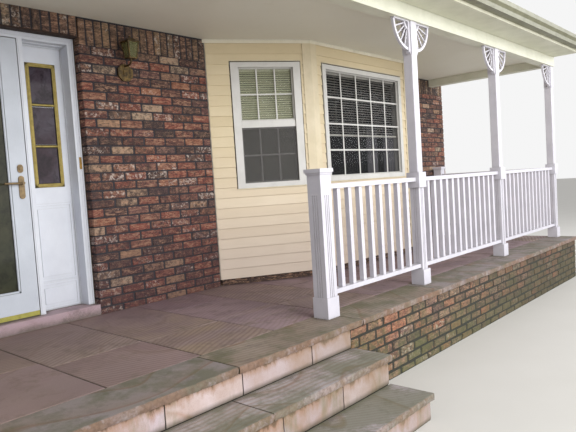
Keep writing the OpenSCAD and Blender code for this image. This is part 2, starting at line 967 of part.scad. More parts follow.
// Plan of a square post with its corners cut off
module chamfered_plan(width, cut) {
    half = width / 2;
    polygon([
        [half - cut, -half], [half, -half + cut],
        [half, half - cut], [half - cut, half],
        [-half + cut, half], [-half, half - cut],
        [-half, -half + cut], [-half + cut, -half],
    ]);
}

module newel() {
    flute_top = rail_block_foot + 14;
    union() {
        square_post(newel_plinth_width, 0, newel_plinth);
        translate([0, 0, newel_plinth - tiny])
            linear_extrude(flute_top - newel_plinth + 2 * tiny) fluted_plan(newel_width, 3);
        square_post(newel_width, flute_top, newel_height);
        square_post(newel_cap_width - 16, newel_height - tiny, newel_height + newel_cap / 3);
        square_post(newel_cap_width, newel_height + newel_cap / 3 - tiny,
                    newel_height + newel_cap);
    }
}

wall_newel_y = porch_depth - newel_cap_width / 2;

module newels() {
    color("#eeeae0") placed() {
        translate([newel_x, post_y, 0]) newel();
        both_ends() translate([right_x, wall_newel_y, 0]) newel();
    }
}

module column() {
    upper_foot = rail_block_top;
    upper_top = beam_foot - top_block;
    union() {
        square_post(block_width, 0, column_plinth);
        translate([0, 0, column_plinth - tiny])
            linear_extrude(rail_block_foot - column_plinth + 2 * tiny)
                fluted_plan(shaft_width, 2);
        square_post(block_width, rail_block_foot, rail_block_top);
        translate([0, 0, upper_foot - tiny])
            linear_extrude(upper_top - upper_foot + 2 * tiny)
                chamfered_plan(shaft_width, shaft_chamfer);
        square_post(top_block_width, upper_top, beam_foot);
    }
}

module columns() {
    color("#eeeae0") placed() for (x = column_xs) translate([x, post_y, 0]) column();
}

// Railings

// A railing along x. Its top rail runs between the given faces, and its bottom rail runs on
// into the thinner shafts by the given reaches.
module railing(left, right, left_reach, right_reach, count) {
    pitch = (right - left) / (count + 1);
    half = rail_width / 2;
    union() {
        block([left, -half, rail_top - top_rail], [right, half, rail_top]);
        block([left - left_reach, -half, bottom_rail_foot],
              [right + right_reach, half, bottom_rail_foot + bottom_rail]);
        for (step = [1:count])
            translate([left + step * pitch, 0, 0])
                square_post(baluster, bottom_rail_foot + bottom_rail - tiny,
                            rail_top - top_rail + tiny);
    }
}

block_half = block_width / 2;
shaft_step = (block_width - shaft_width) / 2;

module railing_one() {
    color("#f0ede4") placed() translate([0, post_y, 0])
        railing(newel_x + newel_width / 2, first_x - block_half, 0, shaft_step, first_balusters);
}

module railing_two() {
    color("#f0ede4") placed() translate([0, post_y, 0])
        railing(first_x + block_half, second_x - block_half, shaft_step, shaft_step,
                second_balusters);
}

module railing_three() {
    color("#f0ede4") placed() translate([0, post_y, 0])
        railing(second_x + block_half, right_x - block_half, shaft_step, shaft_step,
                third_balusters);
}

module side_railings() {
    near = block_width;
    far = wall_newel_y - newel_width / 2;
    color("#f0ede4") placed() both_ends() translate([right_x, 0, 0]) rotate([0, 0, 90])
        railing(near, far, shaft_step, 0, side_balusters);
}

// Fan brackets

// Section of a turned spindle along its radius, from the hub to the rim
function spindle_outline(start, end) =
    let (middle = (start + end) / 2, long = end - start)
    [
        [0, start],
        [spindle_neck, start],
        [spindle_neck, start + 0.18 * long],
        [0.75 * spindle_bead, middle - 0.2 * long],
        [spindle_neck, middle - 0.1 * long],
        [spindle_bead, middle],
        [spindle_neck, middle + 0.1 * long],
        [0.75 * spindle_bead, middle + 0.2 * long],
        [spindle_neck, end - 0.18 * long],
        [spindle_neck, end],
        [0, end],
    ];

// A quarter of a ring in the x-z plane, below and to the left of the origin
module quarter_ring(outer, rim) {
    intersection() {
        rotate([90, 0, 0]) difference() {
            cylinder(h = fan_thick, r = outer, center = true, $fn = 96);
            cylinder(h = 2 * fan_thick, r = outer - rim, center = true, $fn = 96);
        }
        block([-outer, -fan_thick, -outer], [0, fan_thick, 0]);
    }
}

// The leg against the post, with a coved foot, and the strip under the beam
module fan_legs() {
    foot = -fan_radius - fan_tail;
    rotate([90, 0, 0]) linear_extrude(fan_leg_thick, center = true) difference() {
        translate([-fan_leg, foot]) square([fan_leg, -foot]);
        translate([-fan_leg, foot]) circle(r = 0.7 * fan_leg);
    }
    block([-fan_radius, -fan_leg_thick / 2, -fan_strip], [-tiny, fan_leg_thick / 2, 0]);
}

// A quarter fan that fills the corner below the origin and to its left
module fan_bracket() {
    start = fan_hub - fan_hub_rim / 2;
    end = fan_radius - fan_rim / 2;
    union() {
        quarter_ring(fan_radius, fan_rim);
        quarter_ring(fan_hub, fan_hub_rim);
        fan_legs();
        for (step = [1:fan_spindles])
            rotate([0, -90 * step / (fan_spindles + 1), 0]) rotate([0, -90, 0])
                rotate_extrude($fn = 16) polygon(spindle_outline(start, end));
    }
}

module fan_brackets() {
    left_sides = [for (step = [1:3]) column_xs[step] - top_block_width / 2];
    right_sides = [for (step = [0:2]) column_xs[step] + top_block_width / 2];
    color("#eeeae0") placed() translate([0, post_y - fan_forward, beam_foot]) {
        for (x = left_sides) translate([x, 0, 0]) fan_bracket();
        for (x = right_sides) translate([x, 0, 0]) mirror([1, 0, 0]) fan_bracket();
    }
}

// Beams, ceiling and roof

module porch_beams() {
    color("#efebe1") placed() union() {
        block([beam_left, 0, beam_foot], [beam_right, block_width, beam_top]);
        both_ends()
            block([beam_right - block_width, block_width - tiny, beam_foot],
                  [beam_right, porch_depth, beam_top]);
    }
}

module porch_ceiling() {
    color("#d8dcd8") placed()
        block([beam_left + block_width, block_width, ceiling_height],
              [beam_right - block_width, porch_depth, ceiling_height + ceiling_thick]);
}

module soffit() {
    color("#e6e3da") placed()
        block([beam_left, -eave_reach + fascia_thick, beam_top],
              [beam_right, block_width, beam_top + ceiling_thick]);
}

module fascia() {
    color("#e9e5db") placed()
        block([beam_left, -eave_reach, beam_top],
              [beam_right, -eave_reach + fascia_thick, fascia_top]);
}

// Height of the deck's underside at a depth y
function deck_foot(y) = fascia_top + (y + eave_reach) * roof_slope;

module roof_ends() {
    inner = -eave_reach + fascia_thick;
    color("#e9e5db") placed() both_ends()
        along_x(beam_right - fascia_thick, beam_right, [
            [inner, beam_top + ceiling_thick],
            [block_width, beam_top + ceiling_thick],
            [block_width, beam_top],
            [porch_depth, beam_top],
            [porch_depth, deck_foot(porch_depth) - deck_clearance],
            [inner, deck_foot(inner) - deck_clearance],
        ]);
}

module roof_deck() {
    front = -eave_reach - deck_drip;
    color("#6f6a63") placed()
        along_x(beam_left - deck_side, beam_right + deck_side, [
            [front, deck_foot(front)],
            [porch_depth, deck_foot(porch_depth)],
            [porch_depth, deck_foot(porch_depth) + deck_height],
            [front, deck_foot(front) + deck_height],
        ]);
}

// Section of the gutter, or of its trough when it is set in by the metal: a flat back and foot,
// a curved front and an upright lip
function gutter_section(inset, top) =
    let (back = -eave_reach, front = back - gutter_depth, foot = gutter_top - gutter_height)
    [
        [back - inset, top],
        [back - inset, foot + inset],
        [front + 0.30 * gutter_depth + inset, foot + inset],
        [front + 0.22 * gutter_depth + inset, foot + 0.35 * gutter_height],
        [front + inset, foot + 0.6 * gutter_height],
        [front + inset, top],
    ];

gutter_top = deck_foot(-eave_reach - deck_drip) - gutter_gap;

module gutter() {
    metal = gutter_metal;
    color("#ece9e0") placed() difference() {
        along_x(beam_left, beam_right, gutter_section(0, gutter_top));
        along_x(beam_left + metal, beam_right - metal, gutter_section(metal, gutter_top + 1));
    }
}

// Wall lantern. Its body is drawn with its foot at z = 0.

lantern_x = jamb_right + lantern_offset;
lantern_foot = lantern_height + lantern_rise;

// Width of the lantern's body at a height
function body_width(z) =
    lantern_foot_width + (lantern_width - lantern_foot_width) * z / lantern_body;

// A square block that widens or narrows from its foot to its top
module taper(foot, top, height) {
    linear_extrude(height, scale = top / foot) square(foot, center = true);
}

// The lantern's body between two heights, set in from its faces
module body_part(low, high, inset) {
    translate([0, 0, low])
        taper(body_width(low) - 2 * inset, body_width(high) - 2 * inset, high - low);
}

// The four panes' openings, with a bar above and below them
module pane_openings() {
    low = lantern_bar;
    high = lantern_body - lantern_bar;
    foot = body_width(low) - 2 * lantern_bar;
    top = body_width(high) - 2 * lantern_bar;
    translate([0, 0, low]) for (turn = [0, 90]) rotate(turn)
        linear_extrude(high - low, scale = [top / foot, 1])
            square([foot, 2 * lantern_width], center = true);
}

module lantern_cage() {
    difference() {
        body_part(0, lantern_body, 0);
        body_part(lantern_bar, lantern_body + lantern_bar, lantern_metal);
        pane_openings();
    }
}

module lantern_cap() {
    knob = lantern_arm;
    eave = lantern_width + 2 * lantern_eave;
    translate([0, 0, -tiny]) taper(eave, 3 * knob, lantern_roof);
    translate([0, 0, lantern_roof - 2 * tiny]) cylinder(h = knob, r = knob / 2);
    translate([0, 0, lantern_roof + 1.5 * knob]) sphere(r = knob, $fn = 24);
}

// The arm comes out of the back plate and bends up to the lantern's foot
module arm(bend) {
    straight = lantern_reach - lantern_plate_thick - bend;
    translate([0, -lantern_plate_thick + tiny, lantern_rise - bend]) rotate([90, 0, 0])
        cylinder(h = straight + 2 * tiny, r = lantern_arm);
    translate([0, bend - lantern_reach, lantern_rise]) rotate([0, 90, 0]) rotate(-90)
        rotate_extrude(angle = 90) translate([bend, 0]) circle(r = lantern_arm, $fn = 24);
    translate([0, -lantern_reach, lantern_rise - tiny])
        cylinder(h = lantern_bar / 2, r = lantern_arm);
}

module back_plate() {
    boss = 0.3 * lantern_plate;
    rotate([90, 22.5, 0])
        cylinder(h = lantern_plate_thick, r = lantern_plate / 2 / cos(22.5), $fn = 8);
    block([-boss / 2, -1.5 * lantern_plate_thick, -boss / 2], [boss / 2, -tiny, boss / 2]);
}

module wall_lantern() {
    bend = lantern_rise - 0.38 * lantern_plate;
    color("#8d9477") placed() translate([lantern_x, porch_depth, lantern_height]) union() {
        back_plate();
        arm(bend);
        translate([0, -lantern_reach, lantern_rise]) {
            lantern_cage();
            translate([0, 0, lantern_body]) lantern_cap();
        }
    }
}

// The panes stand inside the bars, on the lantern's floor
module lantern_glass() {
    outer = lantern_metal + lantern_clearance;
    top = lantern_body - lantern_clearance;
    color("#c9cfa8") placed()
        translate([lantern_x, porch_depth - lantern_reach, lantern_foot]) difference() {
            body_part(lantern_bar, top, outer);
            body_part(lantern_bar - 1, top + 1, outer + lantern_pane);
        }
}

porch_base();
front_coping();
floor_slabs();
riser_stones();
step_treads();
step_core();
wall_left();
wall_centre();
wall_right();
wall_over_door();
wall_over_bay();
bay_left();
bay_front();
bay_right();
bay_kerb();
bay_corner_boards();
bay_trim();
window_frames();
window_panes();
door_sill();
door_frame();
storm_door();
storm_door_glass();
storm_door_strip();
storm_door_hinges();
frame_hinges();
door_handle();
sidelights();
sidelight_grilles();
sidelight_panes();
doorbell();
newels();
columns();
railing_one();
railing_two();
railing_three();
side_railings();
fan_brackets();
porch_beams();
porch_ceiling();
soffit();
fascia();
gutter();
roof_deck();
roof_ends();
wall_lantern();
lantern_glass();
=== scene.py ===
"""Looks of the front porch: brick, stone, siding, windows, door fittings and paint.

Sizes are millimetres in the porch layout, as in the part's source: x from the left face of the
newel's plinth, y from the front faces of the posts, z from the top of the porch floor. at() turns
them into the frame's metres.
"""
import math
import random
from dataclasses import dataclass, replace

import bpy
from mathutils import Matrix, Vector, noise


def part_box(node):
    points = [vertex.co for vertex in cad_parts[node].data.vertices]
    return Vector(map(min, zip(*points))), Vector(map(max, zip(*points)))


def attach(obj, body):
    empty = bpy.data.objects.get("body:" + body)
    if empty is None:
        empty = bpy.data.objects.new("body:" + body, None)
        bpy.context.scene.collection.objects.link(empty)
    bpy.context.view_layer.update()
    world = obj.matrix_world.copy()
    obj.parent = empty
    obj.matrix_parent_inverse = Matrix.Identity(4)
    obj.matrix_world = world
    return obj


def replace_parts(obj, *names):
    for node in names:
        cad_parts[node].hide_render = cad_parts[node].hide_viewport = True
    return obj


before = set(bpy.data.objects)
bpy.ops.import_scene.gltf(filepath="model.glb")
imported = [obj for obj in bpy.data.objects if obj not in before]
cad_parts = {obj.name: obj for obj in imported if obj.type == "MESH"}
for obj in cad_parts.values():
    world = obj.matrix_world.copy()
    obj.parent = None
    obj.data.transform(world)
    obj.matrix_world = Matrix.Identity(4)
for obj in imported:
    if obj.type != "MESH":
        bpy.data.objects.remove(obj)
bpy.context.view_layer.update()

# Fixed sizes and places of the layout, as in the part's source
FLOOR_HEIGHT = 540
WALL_LEFT = -3690.5
PORCH_DEPTH = 1798
STEPS_RIGHT = 0
RISER_THICK = 60
NOSING = 28
MIDDLE_X = WALL_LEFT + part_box("wall_right")[1].x * 1000
MIDDLE_Y = PORCH_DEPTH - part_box("wall_left")[0].y * 1000


def at(x, y, z):
    """A point of the porch layout, in the frame's metres."""
    return Vector(((x - MIDDLE_X) / 1000, (y - MIDDLE_Y) / 1000, (z + FLOOR_HEIGHT) / 1000))


def extent(node):
    """The low and the high corner of a CAD piece, in the porch layout."""
    return [(1000 * p.x + MIDDLE_X, 1000 * p.y + MIDDLE_Y, 1000 * p.z - FLOOR_HEIGHT)
            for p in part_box(node)]


# Sizes taken from the CAD pieces
GROUND = -FLOOR_HEIGHT
WALL_RIGHT, WALL_BACK, WALL_TOP = extent("wall_right")[1]
(FLOOR_LEFT, COPING_EDGE, COPING_FOOT), (FLOOR_RIGHT, COPING_BACK, _) = extent("front_coping")
(TREAD_LEFT, TREAD_EDGE, LOWER_FOOT), (TREAD_END, _, UPPER_TOP) = extent("step_treads")
(JAMB_LEFT, _, _), (JAMB_RIGHT, _, SILL_HEIGHT) = extent("door_sill")
(_, FRAME_Y, _), (_, _, DOOR_HEAD) = extent("door_frame")
(BAY_LEFT, BAY_FRONT_Y, KERB), (BAY_RIGHT, _, CEILING) = extent("bay_front")
(ROOF_LEFT, DECK_FRONT, DECK_FOOT), (ROOF_RIGHT, _, DECK_TOP) = extent("roof_deck")
(GUTTER_LEFT, GUTTER_FRONT, _), (GUTTER_RIGHT, GUTTER_BACK, GUTTER_TOP) = extent("gutter")
(LEAF_LEFT, _, LEAF_FOOT), (LEAF_RIGHT, LEAF_BACK, LEAF_TOP) = extent("storm_door")
(_, LIGHT_FRONT, _), (_, _, LIGHT_TOP) = extent("sidelights")
(GLASS_LEFT, LEAF_GLASS, GLASS_FOOT), (GLASS_RIGHT, _, GLASS_TOP) = extent("storm_door_glass")
(GRILLE_LEFT, GRILLE_FRONT, GRILLE_FOOT), (GRILLE_RIGHT, _, GRILLE_TOP) = extent("sidelight_grilles")
TRIM_FOOT = extent("bay_trim")[0][2]
SLAB = -COPING_FOOT
STEPS_LEFT = TREAD_LEFT + TREAD_END  # the treads stand over both ends by as much
GOING = (COPING_EDGE - TREAD_EDGE) / 2
LOWER_TOP = LOWER_FOOT + SLAB
BAY_X = (BAY_LEFT + BAY_RIGHT) / 2
BAY_HALF = BAY_RIGHT - BAY_X
BAY_FOOT_LEFT = extent("bay_left")[0][0]
BAY_FOOT_HALF = BAY_X - BAY_FOOT_LEFT
BAY_FOOT_RIGHT = BAY_X + BAY_FOOT_HALF


# Materials

def linear(colour):
    """A colour written as six hex digits, as linear RGBA. A socket comes back as it is."""
    if not isinstance(colour, str):
        return colour
    parts = [int(colour[i:i + 2], 16) / 255 for i in (0, 2, 4)]
    return tuple(p / 12.92 if p <= 0.04045 else ((p + 0.055) / 1.055) ** 2.4 for p in parts) + (1.0,)


class Nodes:
    """A node tree, with short ways to add nodes to it."""

    def __init__(self, tree):
        self.tree = tree

    def node(self, kind, inputs=None, **settings):
        """A new node. inputs gives its sockets other sockets or plain values."""
        made = self.tree.nodes.new(kind)
        for key, value in settings.items():
            setattr(made, key, value)
        for key, source in (inputs or {}).items():
            self.wire(source, made.inputs[key])
        return made

    def wire(self, source, socket):
        """Links a socket, or sets a plain value."""
        if isinstance(source, bpy.types.NodeSocket):
            self.tree.links.new(source, socket)
        else:
            socket.default_value = source

    def math(self, how, first, second=0.0):
        return self.node("ShaderNodeMath", {0: first, 1: second}, operation=how).outputs[0]

    def between(self, value, low, high):
        """From low to high, as the value grows from 0 to 1."""
        inputs = {"Value": value, "To Min": low, "To Max": high}
        return self.node("ShaderNodeMapRange", inputs).outputs["Result"]


class Material(Nodes):
    """A procedural material. Most methods add nodes and return their output, and lay() puts
    one more colour over the body."""

    def __init__(self, name, body=None, roughness=0.6, **constants):
        self.data = bpy.data.materials.new(name)
        self.data.use_nodes = True
        super().__init__(self.data.node_tree)
        self.shader = self.tree.nodes["Principled BSDF"]
        self.body = body
        for socket, value in {"Roughness": roughness, **constants}.items():
            self.shader.inputs[socket].default_value = value
        self.place = self.node("ShaderNodeTexCoord").outputs["Object"]

    def stretched(self, *scale):
        """The place, scaled differently along x, y and z."""
        return self.node("ShaderNodeMapping", {"Vector": self.place, "Scale": scale}).outputs["Vector"]

    def noise(self, scale, detail, roughness, where=None, distortion=0.0):
        inputs = {"Vector": where or self.place, "Scale": scale, "Detail": detail,
                  "Roughness": roughness, "Distortion": distortion}
        return self.node("ShaderNodeTexNoise", inputs).outputs["Fac"]

    def ramp(self, value, stops):
        """stops are pairs of a position and a hex colour or a grey value."""
        made = self.node("ShaderNodeValToRGB", {"Fac": value})
        elements = made.color_ramp.elements
        while len(elements) < len(stops):
            elements.new(0.5)
        for element, (position, colour) in zip(elements, stops):
            element.position = position
            element.color = linear(colour) if isinstance(colour, str) else (colour,) * 3 + (1.0,)
        return made.outputs["Color"]

    def share(self, value, start, full, most=1.0):
        """Grows from 0, where the value is at start, to the most, where it is at full."""
        return self.ramp(value, sorted([(start, 0.0), (full, most)]))

    def mix(self, share, first, second):
        inputs = {0: share, 6: linear(first), 7: linear(second)}
        return self.node("ShaderNodeMix", inputs, data_type="RGBA").outputs[2]

    def lay(self, value, colour, start, full, most=1.0):
        """Lays a colour over the body, in the share of the value."""
        self.body = self.mix(self.share(value, start, full, most), self.body, colour)

    def plus(self, first, second):
        return self.math("ADD", first, second)

    def times(self, first, second):
        return self.math("MULTIPLY", first, second)

    def bands(self, value, count):
        """Repeats from 0 to 1, again and again, as the value grows."""
        return self.math("FRACT", self.times(value, count))

    def part(self, vector, axis):
        """The part of a vector along an axis, 0 for x, 1 for y and 2 for z."""
        return self.node("ShaderNodeSeparateXYZ", {0: vector}).outputs[axis]

    def along(self, axis, scale):
        """The place along an axis, in metres times the scale."""
        return self.times(self.part(self.place, axis), scale)

    def tone(self):
        """Three random numbers that each brick, stone or board carries."""
        made = self.node("ShaderNodeAttribute", attribute_name="tone")
        split = self.node("ShaderNodeSeparateColor", {0: made.outputs["Color"]})
        return split.outputs[0], split.outputs[1], split.outputs[2]

    def shifted(self, number, reach=30.0):
        """The place, moved by a random number of each piece, so that no two look alike."""
        inputs = {0: self.times(number, reach), 1: self.times(number, -reach)}
        move = self.node("ShaderNodeCombineXYZ", inputs).outputs["Vector"]
        added = self.node("ShaderNodeVectorMath", {0: self.place, 1: move}, operation="ADD")
        return added.outputs["Vector"]

    def openness(self, reach, samples):
        """1 on open faces, and less in corners and beside pieces within reach, in millimetres."""
        inputs = {"Distance": reach / 1000}
        return self.node("ShaderNodeAmbientOcclusion", inputs, samples=samples).outputs["AO"]

    def gloss(self, value, low, high):
        """Roughness from low to high as the value grows from 0 to 1."""
        self.wire(self.between(value, low, high), self.shader.inputs["Roughness"])

    def finish(self, *bumps):
        """Wires the body and the bumps, each a height and its depth in millimetres."""
        self.wire(linear(self.body), self.shader.inputs["Base Color"])
        normal = None
        for height, depth in bumps:
            made = self.node("ShaderNodeBump", {"Distance": depth / 1000, "Strength": 1.0, "Height": height})
            if normal:
                self.wire(normal, made.inputs["Normal"])
            normal = made.outputs["Normal"]
        if normal:
            self.wire(normal, self.shader.inputs["Normal"])
        return self.data


def brick_material(name, tones, lime, lime_from, moss=None, low_plum_shade=None):
    """Weathered brick: each has its own tone, with streaks, burnt patches, grit and lime smears."""
    made = Material(name, roughness=0.88)
    pick, other, smear = made.tone()
    made.body = made.ramp(pick, tones)
    streak = made.noise(15, 7, 0.78, made.stretched(1, 1, 4.2), 0.9)
    made.lay(streak, "a8836a", 0.50, 0.58, 0.80)
    made.lay(streak, "2a1f24", 0.47, 0.38, 0.85)
    burnt = made.plus(made.noise(31, 6, 0.7, distortion=0.5), made.times(other, 0.22))
    made.lay(burnt, "2b2224", 0.56, 0.74, 0.85)
    grit = made.noise(210, 3, 0.6)
    made.lay(grit, "9a8470", 0.52, 0.70, 0.45)
    patch = made.plus(made.noise(34, 6, 0.7, distortion=0.6), made.times(smear, 0.30))
    made.lay(patch, lime, lime_from, lime_from + 0.09, 0.8)
    if low_plum_shade:
        # Darker and plummer toward the floor: painted shade, with a plummer tone in the lower bricks.
        made.lay(made.along(2, 0.5), low_plum_shade, 0.85, 0.26, 0.45)
    if moss:
        lay_moss(made, moss)
        # Painted shade: darker toward the right, the far end of the base.
        made.lay(made.along(0, 0.2), "3d3228", 0.0, 0.50, 0.55)
    return made.finish((made.noise(60, 6, 0.7), 3.0), (grit, 0.9))


def lay_moss(made, moss):
    """Moss on the base: more of it toward the ground, and a little more toward the right, where it also
    stands in as painted shade of the far end.
    """
    moss_and_far_shade = made.plus(made.along(2, -0.40), made.along(0, 0.02))
    made.lay(made.plus(made.noise(4.0, 7, 0.75), moss_and_far_shade), moss, 0.30, 0.52, 0.76)


def mortar_material(name, base, dark, moss=None):
    made = Material(name, roughness=0.95)
    made.body = made.mix(made.noise(30, 6, 0.7), base, dark)
    if moss:
        lay_moss(made, moss)
    return made.finish((made.noise(150, 5, 0.7), 1.6))


def finish_stone(made, dirt, roughness):
    """Grain, gloss and grit that all the stones share."""
    made.lay(made.noise(320, 2, 0.5), "4c463f", 0.55, 0.75, 0.3)
    made.gloss(dirt, roughness - 0.12, roughness + 0.14)
    return made.finish((made.noise(14, 6, 0.62), 2.2), (made.noise(90, 5, 0.65), 0.9))


def stone_material(name, tones, cloud, arc, edge, moss, moss_from, rock_faced=True, wall_plum_shade=None):
    """Split sandstone. Each stone has its own tone, wide soft clouds, a few sweeping arcs, fine layers in
    some, dark patches of dirt deepened by painted shade in the corners, and moss, which grows denser on the
    lower steps."""
    made = Material(name)
    pick, other, _ = made.tone()
    here = made.shifted(other)
    made.body = made.ramp(pick, tones)
    made.lay(made.noise(1.9, 5, 0.6, here, 0.4), cloud, 0.38, 0.62, 0.85)
    sweep = made.bands(made.noise(0.55, 2, 0.35, here, 0.8), 11.0)
    made.body = made.mix(made.ramp(sweep, [(0.0, 0.0), (0.05, 0.55), (0.13, 0.0)]), made.body, arc)
    made.lay(sweep, edge, 0.75, 0.13, 0.22)
    lean = made.times(made.math("SUBTRACT", other, 0.5), 1.6)
    run = made.plus(made.times(made.part(here, 0), lean), made.part(here, 1))
    bend = made.times(made.noise(1.1, 3, 0.5, here), 4.5)
    layers = made.math("FRACT", made.plus(made.times(run, 24.0), bend))
    layered = made.ramp(layers, [(0.1, 0.0), (0.45, 1.0), (0.8, 0.0)])
    made.body = made.mix(made.times(layered, made.share(pick, 0.30, 0.42, 0.46)), made.body, arc)
    dirt = made.noise(6.0, 7, 0.72, here)
    made.lay(dirt, "5a504a", 0.52, 0.70, 0.6)
    # Painted shade: corners, and places within 90 mm of other pieces, add to the dirt, which lays a dark
    # olive.
    corners = made.share(made.openness(90, 6), 0.95, 0.45)
    made.lay(made.plus(made.times(dirt, 0.8), corners), "514b3e", 0.80, 1.0, 0.75)
    lower = made.times(made.math("SUBTRACT", FLOOR_HEIGHT / 1000, made.part(made.place, 2)), 0.40)
    green = made.plus(made.noise(3.4, 7, 0.72, here), lower)
    made.lay(green, moss, moss_from, moss_from + 0.14, 0.62)
    if wall_plum_shade:
        # Darker and redder toward the house wall: painted shade under the roof, with a redder tone.
        made.lay(made.part(made.place, 1), wall_plum_shade, 0.0, 1.0, 0.55)
        made.lay(made.along(0, -0.25), "7c6953", 0.30, 0.72, 0.48)
    if rock_faced:
        lay_rock_face(made, edge)
    return finish_stone(made, dirt, 0.78)


def lay_rock_face(made, edge):
    """The broken front edge of a stone: rusty in patches, with brown dirt and grey chips."""
    normal = made.node("ShaderNodeNewGeometry").outputs["True Normal"]
    front = made.times(made.part(normal, 1), -1.0)
    top = made.body
    rusty = made.ramp(made.noise(3.2, 5, 0.6), [(0.42, 0.10), (0.60, 0.75)])
    made.body = made.mix(rusty, top, edge)
    made.lay(made.noise(45, 5, 0.7), "5f4a3c", 0.42, 0.64, 0.7)
    made.lay(made.noise(16, 5, 0.7), "9c9090", 0.52, 0.66, 0.6)
    made.body = made.mix(made.share(front, 0.22, 0.45, 0.95), top, made.body)


def riser_material():
    """Sawn riser blocks: pale lilac stone, stained brown under the nosing and mossy in streaks."""
    made = Material("Riser stone")
    pick, other, height = made.tone()
    here = made.shifted(other)
    made.body = made.ramp(pick, [(0.0, "b6a8b1"), (0.25, "c5b7bf"), (0.5, "c9b9b7"), (0.75, "b8aab5"),
                                 (1.0, "ccbcbb")])
    cloud = made.noise(3.0, 5, 0.6, here)
    made.lay(cloud, "a58a7a", 0.40, 0.64, 0.75)
    sweep = made.bands(made.noise(0.9, 2, 0.35, here, 0.8), 8.0)
    made.body = made.mix(made.ramp(sweep, [(0.0, 0.0), (0.06, 0.45), (0.16, 0.0)]), made.body, "9a7456")
    drip = made.noise(9, 6, 0.7, made.stretched(1, 1, 0.4))
    stain = made.plus(made.times(drip, 0.9), made.times(height, 0.55))
    made.lay(stain, "966f4e", 0.76, 0.94, 0.72)
    made.lay(stain, "54432f", 0.92, 1.0, 0.8)
    streak = made.noise(5.5, 6, 0.7, made.stretched(1, 1, 0.22))
    made.lay(made.plus(streak, made.along(2, -0.30)), "72724e", 0.42, 0.60, 0.68)
    # Painted shade: browner and darker toward the steps' right end.
    made.lay(made.plus(made.along(0, 0.25), 1.0), "82705a", 0.45, 0.78, 0.60)
    made.lay(made.math("SUBTRACT", 0.24, height), "4f4a38", 0.0, 0.24, 0.8)
    return finish_stone(made, cloud, 0.75)


def paint_material(name, base, shade, roughness=0.45, dirt=0.25, grain=(3, 3, 0.35)):
    """Outdoor paint on wood: faint grain, an uneven film, grime, and painted shade in the hollows."""
    made = Material(name, base)
    film = made.noise(5, 5, 0.6)
    made.lay(film, shade, 0.35, 0.75)
    made.lay(made.noise(16, 7, 0.75, made.stretched(1, 1, 0.5)), "8d8676", 0.56, 0.80, dirt)
    # Painted shade: greyer in corners and beside other pieces within 20 mm.
    made.lay(made.openness(20, 4), "7d7767", 0.85, 0.30, 0.45)
    made.gloss(film, roughness - 0.07, roughness + 0.1)
    fibre = made.noise(60, 4, 0.6, made.stretched(*grain))
    return made.finish((fibre, 0.35), (made.noise(220, 3, 0.6), 0.12))


def siding_material():
    """Cream boards, each with its own tone, weathered along their length, with painted shade, pinkish grey,
    low down.
    """
    made = Material("Siding")
    made.body = made.ramp(made.tone()[0], [(0.0, "d2c19d"), (0.5, "dacaa8"), (1.0, "e0d1b0")])
    weather = made.noise(2.2, 5, 0.6, made.stretched(1, 1, 2.4))
    made.lay(weather, "ccbc95", 0.4, 0.75, 0.35)
    made.lay(made.noise(11, 6, 0.7, made.stretched(1, 1, 4)), "aa9c78", 0.58, 0.8, 0.28)
    # Painted shade: pinkish grey over the lower boards.
    made.lay(made.along(2, 0.4), "cdbdb8", 0.78, 0.30, 0.62)
    made.gloss(weather, 0.42, 0.58)
    return made.finish((made.noise(70, 5, 0.65, made.stretched(0.12, 0.12, 1.6), 0.6), 0.45))


def ceiling_material():
    made = Material("Ceiling paint", "e5e3d6", roughness=0.55)
    made.lay(made.noise(1.3, 4, 0.55), "d9d6c6", 0.3, 0.8, 0.5)
    made.lay(made.noise(9, 6, 0.7), "b5ad99", 0.6, 0.82, 0.25)
    return made.finish((made.noise(90, 4, 0.6), 0.3))


def metal_material(name, base, tarnish, roughness, tarnish_from=0.38, metallic=1.0):
    """Metal with clouds of tarnish. A metallic of 0 gives paint, rust or rubber."""
    made = Material(name, base, Metallic=metallic)
    cloud = made.noise(28, 6, 0.7)
    made.lay(cloud, tarnish, tarnish_from, tarnish_from + 0.32, 0.85)
    made.gloss(cloud, roughness, min(1.0, roughness + 0.3))
    return made.finish((made.noise(180, 3, 0.6), 0.15))


def glass_material(name, tint, share, roughness=0.03, ior=1.14):
    """Thin glass: a faint tinted film. share is how much it covers what is behind."""
    made = Material(name, tint, Alpha=share, IOR=ior)
    smear = made.noise(6, 5, 0.7, made.stretched(1, 1, 0.4))
    made.lay(smear, "4a4d48", 0.4, 0.8, 0.35)
    made.gloss(smear, roughness, roughness + 0.05)
    return made.finish()


def room_shade_glass_material(name, base, painted_reflection, deep):
    """Opaque glass with the dark room behind it painted on: painted shade, soft lighter patches of painted
    reflection and deeper shapes of painted shade, under a clear gloss.
    """
    made = Material(name, base, IOR=1.22)
    made.lay(made.noise(2.6, 4, 0.6), painted_reflection, 0.4, 0.72)
    # Painted shade: the deep colour in soft shapes.
    made.lay(made.noise(9, 6, 0.75, distortion=0.5), deep, 0.45, 0.65, 0.85)
    made.gloss(made.noise(8, 4, 0.6), 0.03, 0.09)
    return made.finish()


# A dark sheet behind each window: painted shade standing in for the room.
def room_shade_material():
    made = Material("Painted room shade", "0b0b0c", roughness=0.9)
    made.lay(made.noise(1.8, 3, 0.6), "1c1819", 0.4, 0.7)
    return made.finish()


def screen_material():
    """Insect screen: fine wires, shown as one grey sheet that is mostly clear."""
    made = Material("Insect screen", roughness=0.7, Alpha=0.38)
    made.body = made.mix(made.noise(12, 5, 0.7), "4c4a4c", "5e5b5c")
    wires = made.node("ShaderNodeTexVoronoi", {"Vector": made.place, "Scale": 900})
    return made.finish((wires.outputs["Distance"], 0.2))


